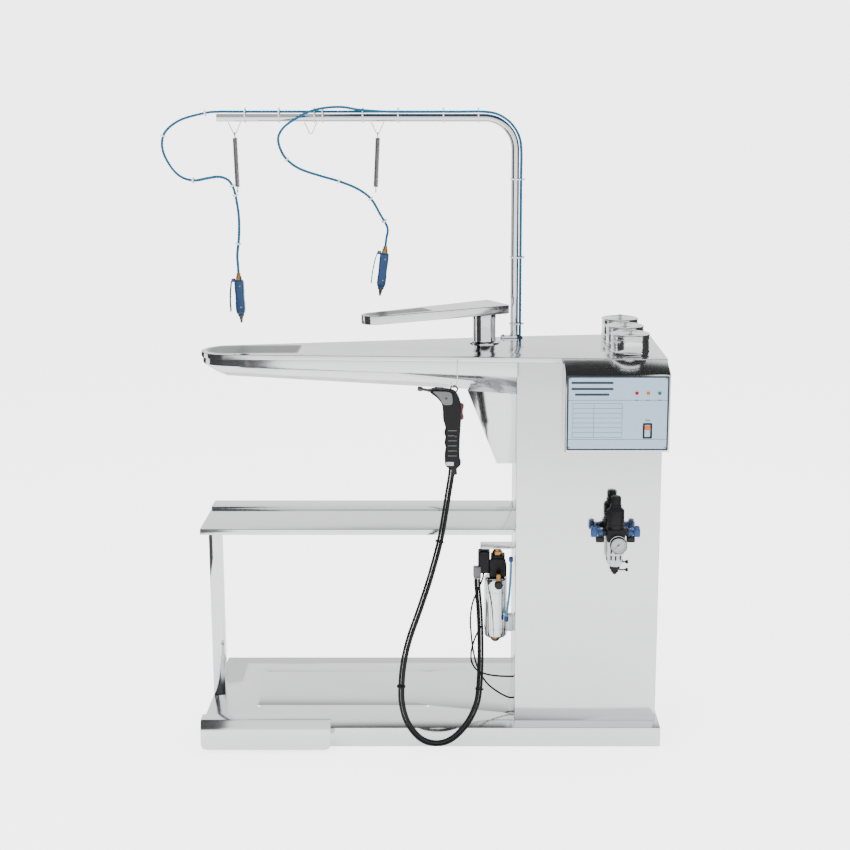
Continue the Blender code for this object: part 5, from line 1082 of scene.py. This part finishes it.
def spray_guns():
    for side in ("left", "right"):
        (x, z), tilt = GUNS[side]
        hang = Matrix.Translation((x, POST.y, z)) @ Matrix.Rotation(tilt, 4, "Y")
        shape = new_shape()
        body = rounded_box(*mm(((-11, -12), (11, 12))), 0.0042, 3)
        rings = []
        for size, height in ((0.72, 0.0), (0.86, -0.0012), (0.97, -0.004), (1.0, -0.008), (1.0, -0.03),
                (0.95, -0.036), (0.95, -0.052), (1.0, -0.058), (1.0, -0.073), (0.93, -0.079), (0.8, -0.083),
                (0.72, -0.084)):
            rings.append([hang @ Vector((px * size, py * size, height)) for px, py in body])
        add_rings(shape, rings)
        for y in (-0.0095, 0.0075):
            block(shape, (-0.0172, y, -0.004), (-0.0092, y + 0.002, 0.003), hang, corner=0.0008)
        finished(f"gun_body_{side}", shape, BLUE_METAL, stands_for=(f"spray_gun_{side}",), sharp=40)
        fittings = new_shape()
        lathe(fittings, mm([(0, 17.2), (4.2, 17.2), (4.8, 16.6), (4.8, 12), (5.5, 11.6), (5.5, 8.8),
            (0, 8.8)]), hang, steps=28)
        lathe(fittings, mm([(0, 8.7), (6.6, 8.7), (7, 8), (7, 0.4), (0, 0.4)]), hang, steps=6)
        rod = [hang @ Vector((-0.0134, y, 0.001)) for y in (-0.0105, 0.0105)]
        sweep(fittings, [rod[0], rod[0].lerp(rod[1], 0.5), rod[1]], ring_of(0.0012, 12))
        finished(f"gun_fittings_{side}", fittings, BRASS, sharp=35)
        screws = repeated(screw_tile(0.0024, 0.0012), [hang @ at(0.003, -0.01195, level, (90, "X"))
            for level in (-0.014, -0.066)], ZINC)
        finished(f"gun_screws_{side}", screws, ZINC)
        nozzle = hang @ Matrix.Translation((0, 0, -0.084))
        turned(f"nozzle_cone_{side}", mm([(0, -0.3), (7.8, -0.3), (7.8, -5), (7.2, -5.8), (5.6, -7),
            (4.6, -10), (3, -18), (2.4, -22.5), (1.2, -22.5), (1, -19), (0, -19)]), nozzle, DARK_METAL,
            stands_for=(f"spray_nozzle_{side}",), steps=32)
        lever = new_shape()
        pivot = hang @ Matrix.Translation((-0.0155, 0, 0.001))
        path = [(0.0005, 0.0012), (-0.0022, -0.003), (-0.0045, -0.012), (-0.0066, -0.026), (-0.0085, -0.045),
            (-0.0092, -0.06), (-0.0088, -0.072), (-0.0094, -0.0785)]
        route = smooth_route([pivot @ Vector((px, 0, pz)) for px, pz in path], 0.0025)
        strip = rounded_box(*mm(((-6.2, -1.3), (6.2, 1.3))), 0.0011, 3)
        sweep(lever, route, strip, twist=hang.to_3x3() @ Vector((0, 1, 0)))
        lathe(lever, mm([(0, -6.4), (2.6, -6.4), (2.6, 6.4), (0, 6.4)]), pivot @ FRONT, steps=20)
        finished(f"gun_lever_{side}", lever, BLACK, f"lever_{side}", "black_plastic", (f"spray_lever_{side}",))


GUN_OUTLINE = mm([(7.3, 0), (13.8, 1.8), (19.6, 11), (16.5, 23.9), (17.4, 69.7), (19.8, 110.1), (19.5, 125),
    (18.4, 154.1), (10.1, 174.3), (-1.8, 183.1), (-33, 187.5), (-45.9, 186.3), (-51.4, 183), (-50, 178),
    (-36.7, 167.9), (-26.6, 156), (-22.9, 143.1), (-21.7, 117.4), (-18.4, 104.6), (-16.1, 93.6), (-19, 83.5),
    (-16, 71.6), (-18.7, 60.6), (-16, 47.7), (-18.4, 31.2), (-16.5, 7.3), (-7.3, 0)])


def smooth_outline(points, steps):
    """A closed outline through the points, rounded between them."""
    count = len(points)
    smooth = []
    for index in range(count):
        before, here = Vector(points[index - 1]), Vector(points[index])
        there, after = Vector(points[(index + 1) % count]), Vector(points[(index + 2) % count])
        for step in range(steps):
            t = step / steps
            smooth.append(tuple(0.5 * (2 * here + (there - before) * t
                + (2 * before - 5 * here + 4 * there - after) * t * t
                + (3 * here - before - 3 * there + after) * t ** 3)))
    return smooth


def steam_gun():
    upright = Matrix.Translation(STEAM_GUN) @ FRONT
    outline = smooth_outline(GUN_OUTLINE, 3)
    shape = new_shape()
    prism(shape, outline, -0.0168, 0.0168, upright, rounding=0.0046, steps=5)
    rings = []
    for outward in (Vector((math.cos(t), 0, math.sin(t))) for t in (CYCLE * step / 32 for step in range(32))):
        rings.append([HANG_RING + outward * (RING_RADIUS + u) + Vector((0, v, 0))
            for u, v in ring_of(RING_WIRE, 12)])
    add_rings(shape, rings, loop=True)
    finished("gun_housing", shape, BLACK, stands_for=("steam_gun",), sharp=32)
    trim = new_shape()
    plate = mm([(-0.4, 154.5), (-1, 174), (-7.4, 181.5), (-30, 183.2), (-44, 182.6), (-35, 173.5),
        (-26.5, 162.5), (-21.5, 153), (-10, 151.5)])
    for face in (-0.01745, 0.01665):
        prism(trim, smooth_outline(plate, 4), face, face + 0.0008, upright, rounding=0.0003, steps=2)
    for step in range(6):
        z = 0.03 + 0.012 * step
        for face in (-0.0173, 0.0168):
            block(trim, (-0.0105, z, face), (0.01, z + 0.0016, face + 0.0005), upright, corner=0.0005)
    finished("gun_side_plates", trim, GREY, sharp=35)
    screws = repeated(screw_tile(0.003, 0.0012),
        [upright @ at(px, pz, side * 0.01725, (0 if side > 0 else 180, "X")) for side in (-1, 1)
        for px, pz in ((-0.0138, 0.1669), (0.007, 0.078))], DARK_METAL)
    finished("gun_housing_screws", screws, DARK_METAL, slot="zinc")
    badge = new_shape()
    for face in (-0.01715, 0.01665):
        block(badge, (-0.015, 0.007, face), (0.003, 0.0165, face + 0.0005), upright, corner=0.0012)
    finished("gun_badge", badge, CAST)
    place = at(STEAM_GUN.x - 0.0516, STEAM_GUN.y, STEAM_GUN.z + 0.1818, (-80, "Y"))
    turned("gun_nozzle_finished", mm([(0, 0.3), (4.4, 0.3), (4.4, 3), (3.4, 3.8), (3.2, 17), (4.4, 18),
        (5.5, 20.5), (5.5, 27), (4.8, 29), (3, 29.5), (2.6, 29.5), (2.4, 26), (0, 26)]), place, DARK_METAL,
        stands_for=("steam_gun_nozzle",), steps=32)
    trigger = new_shape()
    profile = smooth_outline(mm([(12.5, 114.2), (22.5, 114.2), (26.2, 118), (24.8, 125), (24, 132), (25, 140),
        (26.6, 146.5), (24, 150.3), (12.5, 150.3)]), 4)
    prism(trigger, profile, -0.0088, 0.0088, upright, rounding=0.002, steps=4)
    finished("trigger_finished", trigger, RED_BUTTON, "trigger", "red_button", ("steam_gun_trigger",))
    turned("hose_strain_relief", mm([(5.2, 0.2), (8, 0.2), (7.8, -4), (6.8, -6), (6.6, -16), (6.2, -18),
        (5.2, -18)]), at(STEAM_GUN.x + 0.0028, STEAM_GUN.y, STEAM_GUN.z - 0.0004, (-6, "Y")), BLACK_GLOSS,
        steps=28, loop=True)
    hook = new_shape()
    x, y, z = HANG_RING
    wire, flange = 0.0011, BOARD_TOP - 0.012
    rest = z + RING_RADIUS - RING_WIRE - wire - 0.0003
    points = [(x + 0.009, depth(0.0205), flange + 0.006), (x + 0.0082, depth(0.0205), flange - 0.003),
        (x + 0.0078, depth(0.0225), flange - 0.022), (x + 0.0072, y + 0.0058, rest + 0.016),
        (x + 0.0052, y + 0.0056, rest + 0.006), (x + 0.0028, y + 0.0035, rest + 0.0008), (x, y, rest),
        (x - 0.0028, y - 0.0036, rest + 0.001), (x - 0.0052, y - 0.0055, rest + 0.0062),
        (x - 0.0068, y - 0.0058, rest + 0.0145)]
    sweep(hook, smooth_route(points, 0.0015), ring_of(wire, 12))
    finished("gun_hook_wire", hook, CHROME, stands_for=("steam_gun_hook",), sharp=60)


# Jars

def jars():
    for index in (1, 2, 3):
        low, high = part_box(f"reagent_jar_{index}")
        centre = (low + high) / 2
        place = at(centre.x, centre.y, low.z)
        radius, tall, wall = 0.0445, high.z - low.z, 0.0012
        profile = [(0, 0), (radius - 0.003, 0), (radius - 0.0012, 0.0006), (radius - 0.0004, 0.002),
            (radius - 0.0003, 0.0055), (radius + 0.0007, 0.0065), (radius + 0.001, 0.008),
            (radius + 0.0007, 0.0095), (radius - 0.0004, 0.0105), (radius - 0.0004, tall - 0.01),
            (radius, tall - 0.0092), (radius + 0.0004, tall - 0.008), (radius, tall - 0.0068),
            (radius - 0.0004, tall - 0.006), (radius - 0.0003, tall - 0.0008), (radius - 0.0008, tall),
            (radius - wall, tall), (radius - wall, 0.003), (radius - 0.004, wall), (0, wall)]
        turned(f"jar_{index}_finished", profile, place, STEEL, f"jar_{index}", "steel",
            (f"reagent_jar_{index}",), sharp=50, steps=72)
        low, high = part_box(f"jar_lid_{index}")
        place = at(centre.x, centre.y, low.z + 0.004)
        lip = radius - wall - 0.0005
        profile = [(0, 0.0117), (0.003, 0.0115), (0.0048, 0.0106), (0.0053, 0.0092), (0.0046, 0.0078),
            (0.003, 0.0068), (0.0027, 0.0052), (0.0034, 0.0042), (0.008, 0.0037), (0.02, 0.0034),
            (0.0215, 0.0026), (0.033, 0.0026), (0.0345, 0.0034), (radius - 0.003, 0.0034),
            (radius - 0.0008, 0.003), (radius + 0.0007, 0.002), (radius + 0.001, 0.0008),
            (radius + 0.0006, 0.0), (lip, 0.0), (lip, -0.004), (lip - 0.001, -0.004), (lip - 0.001, 0.0006),
            (0.02, 0.0012), (0, 0.0012)]
        turned(f"lid_{index}_finished", profile, place, STEEL, f"lid_{index}", "steel", (f"jar_lid_{index}",),
            sharp=50, steps=72)


# Control box

def control_panel():
    face = at(0, BOX.face, 0) @ FRONT
    x0, x1, z0, z1 = BOX.x0 + 0.003, BOX.x1 - 0.003, BOX.z0 + 0.004, BOX.z1 - 0.003
    slab("panel_border", (x0, z0, 0.0), (x1, z1, 0.0007), face, LABEL_DARK, corner=0.003, rounding=0.0003)
    slab("panel_plate", (x0 + 0.004, z0 + 0.004, 0.0004), (x1 - 0.004, z1 - 0.004, 0.0011), face, LABEL,
        corner=0.0018, rounding=0.0003)
    lines = new_shape()
    left, right = x0 + 0.014, x0 + 0.125

    def rule(xa, xb, za, zb):
        block(lines, (xa, za, 0.0008), (xb, zb, 0.0014), face, corner=0.0001, rounding=0.0)

    top = z1 - 0.063
    rows, height = 7, 0.0112
    for row in range(rows + 1):
        z = top - row * height
        rule(left, right, z - 0.0003, z + 0.0003)
    for x in (left, left + 0.047, right):
        rule(x - 0.0003, x + 0.0003, top - rows * height, top)
    rule(x0 + 0.004, x1 - 0.004, z1 - 0.056, z1 - 0.0553)
    rule(x0 + 0.004, x1 - 0.004, z0 + 0.0255, z0 + 0.0262)
    finished("panel_lines", lines, LABEL_LINE, sharp=0)
    bars = new_shape()
    for low, high, shift in ((0.01, 0.104, 0.018), (0.01, 0.104, 0.032), (0.018, 0.095, 0.045)):
        block(bars, (x0 + low, z1 - shift, 0.0008), (x0 + high, z1 - shift + 0.005, 0.0014), face,
            corner=0.0008, rounding=0.0)
    finished("panel_bars", bars, LABEL_DARK, sharp=0)

    rocker_low, rocker_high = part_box("power_rocker")
    middle = (rocker_low + rocker_high) / 2
    bezel = new_shape()
    outer = rounded_box(*mm(((-10.5, -18), (10.5, 18))), 0.002, 3)
    inner = rounded_box(*mm(((-6.4, -14.2), (6.4, 14.2))), 0.001, 3)
    spot = at(middle.x, BOX.face, 0.7978) @ FRONT
    rings = [[spot @ Vector((x, y, z)) for x, y in outline]
        for outline, z in ((outer, 0.0003), (outer, 0.0016), (inset(outer, 0.0008), 0.0024),
        (inset(inner, -0.0006), 0.0024), (inner, 0.0018), (inner, 0.0003))]
    add_rings(bezel, rings, loop=True)
    finished("rocker_bezel", bezel, BLACK_GLOSS)
    softened("power_rocker", ORANGE_LENS, "rocker", "orange_lens", width=0.0007, segments=3)
    for name, material, slot in (("lamp_red", RED_LENS, "red_lens"), ("lamp_amber", AMBER_LENS, "amber_lens"),
            ("lamp_green", GREEN_LENS, "green_lens")):
        low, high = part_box(name)
        spot = at((low.x + high.x) / 2, BOX.face, (low.z + high.z) / 2) @ FRONT
        turned(name + "_lens", mm([(0, 4.5), (1.6, 4.3), (3, 3.6), (3.8, 2.6), (4.1, 1.6), (4.1, 0.3),
            (3.9, -0.2), (3.9, -16), (0, -16)]), spot, material, slot=slot, stands_for=(name,), steps=32)
        turned(name + "_ring", mm([(6.2, 0.3), (6.2, 1.6), (5.6, 2.3), (4.6, 2.3), (4.3, 1.6), (4.3, 0.3)]),
            spot, CHROME, steps=32, loop=True)
    mark = new_shape()
    for step in (-1, 0, 1):
        x = middle.x + 0.0257 * step
        block(mark, (x - 0.004, 0.868, 0.0008), (x + 0.004, 0.8695, 0.0014), face, corner=0.0004, rounding=0.0)
    block(mark, (middle.x - 0.006, 0.8215, 0.0008), (middle.x + 0.006, 0.8232, 0.0014), face, corner=0.0004,
        rounding=0.0)
    finished("panel_marks", mark, LABEL_DARK, sharp=0)
    corners = [at(x, BOX.face - 0.0009, z, (90, "X")) for x in (x0 + 0.0065, x1 - 0.0065)
        for z in (z0 + 0.0065, z1 - 0.0065)]
    finished("panel_rivets", repeated(screw_tile(0.0022, 0.0012), corners, ZINC), ZINC)


# Air filter, regulator and gauge

def ribs_round(radius, low, high, count, place, material, width=0.0011, depth_out=0.0007):
    """Upright grip ribs round a cylinder."""
    tile = new_shape()
    block(tile, (-depth_out, -width / 2, low), (depth_out, width / 2, high), corner=width * 0.3, steps=1)
    return repeated(tile, [place @ at(radius * math.cos(turn), radius * math.sin(turn), 0,
        (math.degrees(turn), "Z")) for turn in (CYCLE * step / count for step in range(count))], material)


def air_filter():
    knob_low, knob_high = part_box("regulator_knob")
    centre = (knob_low + knob_high) / 2
    x, y = centre.x, centre.y
    here = at(x, y, REGULATOR_HEIGHT)
    shape = new_shape()
    block(shape, *mm(((-21, -21, -13.9), (21, 21, 16))), here, corner=0.004, rounding=0.0015)
    lathe(shape, mm([(0, 68.4), (12, 68.4), (13, 67), (16, 62.5), (18.8, 60.5), (19.5, 59), (19.5, 30),
        (19, 29), (19, 27), (20, 26), (20, 15.5), (0, 15.5)]), here, steps=48)
    block(shape, *mm(((-12, 18, -8), (12, 29.6, 10))), here, corner=0.001)
    body = merged(mesh_from(shape), ribs_round(0.0195, 0.031, 0.058, 30, here, BLACK))
    finished("regulator_body", body, BLACK, stands_for=("filter_regulator",), sharp=35)
    fittings = new_shape()
    nuts = new_shape()
    for side in (-1, 1):
        across = here @ at(0, 0, 0.004, (90 * side, "Y"))
        lathe(nuts, mm([(0, 20.5), (9.5, 20.5), (9.8, 21.5), (9.8, 29), (9, 30), (0, 30)]), across, steps=6)
        lathe(fittings, mm([(0, 30.1), (7.8, 30.1), (8, 31), (8, 40), (7, 41.2), (0, 41.2)]), across, steps=28)
        block(fittings, (side * 0.05 - 0.0078, -0.0078, -0.0055), (side * 0.05 + 0.0078, 0.0078, 0.0135), here,
            corner=0.003, rounding=0.002)
        lathe(fittings, mm([(0, 13), (6.6, 13), (6.8, 14), (6.8, 18), (6, 18.6), (4.2, 18.6), (4, 15),
            (0, 15)]), here @ at(side * 0.05, 0, 0), steps=24)
    for side in (-1, 1):
        block(nuts, (side * 0.036 - 0.01, -0.007, -0.019), (side * 0.036 + 0.01, 0.007, -0.006), here,
            corner=0.003)
    finished("elbow_fittings", fittings, BLUE_FITTING, sharp=35)
    finished("elbow_nuts", nuts, BLACK_GLOSS, slot="dark_metal", sharp=25)

    knob = new_shape()
    place = at(x, y, knob_low.z)
    lathe(knob, mm([(0, 24), (8.5, 24), (10.4, 23.2), (11.4, 21.5), (11.4, 4.5), (12.8, 3.8), (13.3, 3),
        (13.3, 0), (0, 0)]), place, steps=40)
    finished("knob_finished", merged(mesh_from(knob), ribs_round(0.0114, 0.006, 0.0205, 22, place, BLACK)),
        BLACK, "knob", "black_plastic", ("regulator_knob",), sharp=35)

    bowl_low, bowl_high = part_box("filter_bowl")
    turned("bowl_finished", mm([(17.6, 0), (18.5, -1.5), (18.5, -8), (17.8, -9), (17.6, -48), (16.8, -54),
        (14.5, -60), (10.5, -64.2), (6, -66), (0, -66), (0, -64.2), (5.8, -64.2), (9.8, -62.5), (13.2, -58.8),
        (15.2, -53.5), (16, -48), (16.2, 0)]), at(x, y, bowl_high.z), BOWL, stands_for=("filter_bowl",),
        sharp=40, steps=48, loop=True)
    slots = new_shape()
    for turn in (-125, -90, -52, 52, 90, 125):
        for top in (-0.018, -0.034):
            block(slots, (0.0174, -0.0016, top - 0.011), (0.0183, 0.0016, top),
                at(x, y, bowl_high.z, (turn, "Z")), corner=0.0012, rounding=0.0002)
    finished("bowl_slots", slots, BLACK, slot="aluminium")
    thumb = new_shape()
    for height in (0.462, 0.4425):
        across = at(x + 0.005, y, height, (90, "Y"))
        lathe(thumb, mm([(0, 6), (1.6, 6), (1.6, 19), (4, 21.5), (4.6, 24), (4, 26.2), (0, 26.6)]), across,
            steps=20)
    finished("bowl_thumbscrews", thumb, BLACK)
    turned("bowl_collar", mm([(11.8, -60), (12.2, -61), (12.2, -70), (11.2, -71.6), (8.6, -71.6), (8.6, -60)]),
        at(x, y, bowl_high.z), BLACK, steps=36, loop=True)
    drain = new_shape()
    low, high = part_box("bowl_drain")
    lathe(drain, mm([(0, 0), (5.2, 0), (5.5, -1), (5.5, -5.2), (7.6, -6), (8, -7), (8, -11.5), (7.4, -12.5),
        (4.6, -13), (4.4, -16.5), (4, -17), (1.8, -17), (1.6, -15), (0, -15)]), at(x, y, high.z), steps=28)
    finished("drain_finished", merged(mesh_from(drain), ribs_round(0.0079, -0.0118, -0.0068, 14,
        at(x, y, high.z), BLACK)), BLACK, "drain", "black_plastic", ("bowl_drain",), sharp=35)

    low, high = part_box("pressure_gauge")
    dial = at((low.x + high.x) / 2, high.y, (low.z + high.z) / 2) @ FRONT
    turned("gauge_case", mm([(0, 0), (6.6, 0), (7, 0.6), (7, 3), (19, 4.2), (20, 5.6), (20, 16), (19.4, 17.6),
        (18.4, 18), (17.8, 17.2), (17.8, 12.1), (0, 12.1)]), dial, WHITE, stands_for=("pressure_gauge",),
        sharp=35, steps=64)
    turned("gauge_rim", mm([(20.1, 10), (20.1, 16.5), (19.6, 17.9), (18.4, 18.4), (18, 18), (18.6, 15),
        (19, 10)]), dial, BLACK_GLOSS, steps=64, loop=True)
    tick = new_shape()
    block(tick, *mm(((-0.28, 13.2, 12.05), (0.28, 16, 12.35))), corner=0.0001, rounding=0.0, steps=1)
    marks = repeated(tick, [dial @ Matrix.Rotation(math.radians(135 - 27 * step), 4, "Z")
        for step in range(11)], BLACK)
    fine = new_shape()
    block(fine, *mm(((-0.14, 14.4, 12.05), (0.14, 16, 12.3))), corner=5e-05, rounding=0.0, steps=1)
    marks = merged(marks, repeated(fine, [dial @ Matrix.Rotation(math.radians(135 - 5.4 * step), 4, "Z")
        for step in range(51)], BLACK))
    finished("gauge_ticks", marks, BLACK, sharp=0)
    turned("gauge_window", mm([(0, 16.2), (17.6, 16.2), (17.6, 17), (0, 17.4)]), dial, GLASS, steps=48)
    needle = new_shape()
    zero = dial @ Matrix.Rotation(math.radians(135), 4, "Z")
    outline = [(-0.0006, -0.004), (0.0006, -0.004), (0.0007, 0.0), (0.00018, 0.0134), (-0.00018, 0.0134),
        (-0.0007, 0.0)]
    prism(needle, outline, 0.0128, 0.0134, zero)
    lathe(needle, mm([(0, 14.5), (1.6, 14.3), (2, 13.8), (2, 12.4), (0, 12.4)]), zero, steps=20)
    finished("needle_finished", needle, BLACK, "needle", "black_plastic", ("gauge_needle",), sharp=30)


# Steam valve and separator

VESSEL_HEIGHT, VALVE_HEIGHT = 0.2225, 0.3773
REGULATOR_HEIGHT = 0.53

def valve_group():
    low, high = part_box("moisture_separator")
    x, y = high.x - 0.0437, (low.y + high.y) / 2
    here = at(x, y, VESSEL_HEIGHT)
    turned("separator_vessel", mm([(0, 154.5), (22.5, 154.5), (26, 153), (28, 150), (28.5, 146), (28.5, 120),
        (28.1, 119.6), (28.1, 118), (28.5, 117.6), (28.5, 26), (28.1, 25.6), (28.1, 24), (28.5, 23.6),
        (28.5, 6), (27.5, 2.5), (25, 0), (0, 0)]), here, CHROME, slot="steel",
        stands_for=("moisture_separator",), sharp=35, steps=64)
    turned("separator_drain_dome", mm([(0, 0.4), (13.5, 0.4), (13.5, -2.2), (12.4, -3), (12, -8), (10.2, -12),
        (7, -14.8), (0, -16)]), here, BRASS, slot="steel", steps=40)
    slab("separator_port", *mm(((24.5, -8, 12), (43.4, 8, 55))), here, CAST, slot="steel", corner=0.002)
    here = at(x, y, VALVE_HEIGHT)
    body = new_shape()
    block(body, *mm(((-16.5, -18, 2), (26.5, 18, 30))), here, corner=0.004, rounding=0.0015)
    block(body, *mm(((-12, -15, 29), (22.5, 15, 55))), here, corner=0.006, rounding=0.0015)
    finished("valve_body", body, BLACK, stands_for=("solenoid_valve",))
    coil = new_shape()
    block(coil, *mm(((-43.5, -22, 12.2), (-14.5, 8, 67))), here, corner=0.005, rounding=0.002)
    block(coil, *mm(((-38.5, -17.5, 66.8), (-19.5, 3.5, 71.5))), here, corner=0.002)
    block(coil, *mm(((-15, -20, 20), (24, -16.5, 48))), here, corner=0.0015)
    finished("valve_coil", coil, BLACK)
    gland = new_shape()
    block(gland, *mm(((-55.5, -27.5, 6), (-36.5, -12, 30))), here, corner=0.003, rounding=0.0015)
    for gx, radius in ((-0.0485, 0.0058), (-0.0405, 0.0042)):
        lathe(gland, [(radius, 0.0065), (radius, 0.001), (radius * 0.85, -0.0006), (radius * 0.8, 0.0065)],
            here @ at(gx, -0.02, 0), steps=20, loop=True)
    finished("cable_gland", gland, GREY)
    fittings = new_shape()
    for low_z, high_z, radius, sides in ((0.0545, 0.064, 0.0125, 6), (0.0641, 0.07, 0.0095, 28),
            (0.0701, 0.0758, 0.0118, 6), (0.0, 0.0022, 0.0105, 6)):
        lathe(fittings, [(0, low_z), (radius * 0.96, low_z), (radius, low_z + 0.0006),
            (radius, high_z - 0.0006), (radius * 0.96, high_z), (0, high_z)], here @ at(0.004, 0, 0),
            steps=sides)
    lathe(fittings, mm([(0, 12), (5.8, 12), (5.8, -13.5), (5, -14.5), (0, -14.5)]),
        here @ at(0.006, -0.037, 0), steps=24)
    block(fittings, *mm(((1, -43, 8), (11, -15, 18))), here, corner=0.002)
    finished("valve_fittings", fittings, BRASS, sharp=30)
    slab("valve_plate", *mm(((-38, -25, 76), (43.4, 25, 78.4))), here, STEEL, corner=0.004, rounding=0.0006)
    knob = new_shape()
    place = here @ at(0.006, -0.0362, -0.01, (90, "X"))
    lathe(knob, mm([(0, 0), (8.5, 0), (9.8, 1), (9.8, 10.5), (8.5, 11.8), (0, 11.8)]), place, steps=32)
    finished("drain_knob", merged(mesh_from(knob), ribs_round(0.0097, 0.0015, 0.01, 16, place, BLACK)),
        BLACK_GLOSS, sharp=35)
    tube_shape = new_shape()
    left = 0.2025
    points = [(left - 0.0078, depth(0.118), 0.428), (left - 0.0085, depth(0.117), 0.39),
        (left - 0.0115, depth(0.117), 0.34), (left - 0.016, depth(0.12), 0.3),
        (left - 0.018, depth(0.124), 0.2765)]
    sweep(tube_shape, smooth_route(points, 0.006), ring_of(0.003, 16))
    finished("cyan_tube", tube_shape, CYAN_HOSE, stands_for=("valve_tube",), sharp=60)
    ends = new_shape()
    for point, up in ((points[0], 1), (points[-1], -1)):
        lathe(ends, mm([(3.1, -6), (5, -6), (5.4, -5), (5.4, 4), (4.6, 5.5), (3.1, 5.5)]),
            at(point[0], point[1], point[2] + 0.002 * up), steps=24, loop=True)
    finished("tube_fittings", ends, BLUE_FITTING, sharp=35)


def hidden_and_rear():
    """The vacuum unit inside the column, and the inlet on the rear cover."""
    for name, material in (("blower_housing", GALVANISED), ("blower_motor", PAINT), ("blower_impeller", CAST),
            ("damper_flap", GALVANISED)):
        node_object = bpy.data.objects[name]
        node_object.data.materials.clear()
        node_object.data.materials.append(material)
    softened("mains_inlet", BLACK, slot="black_plastic", width=0.0006)


def main():
    camera_and_light()
    free_hoses()
    sheet_metal()
    screens()
    gantry()
    hooks_and_springs()
    sleeve_stand()
    spray_guns()
    steam_gun()
    jars()
    control_panel()
    air_filter()
    valve_group()
    hidden_and_rear()


main()
bpy.context.view_layer.update()
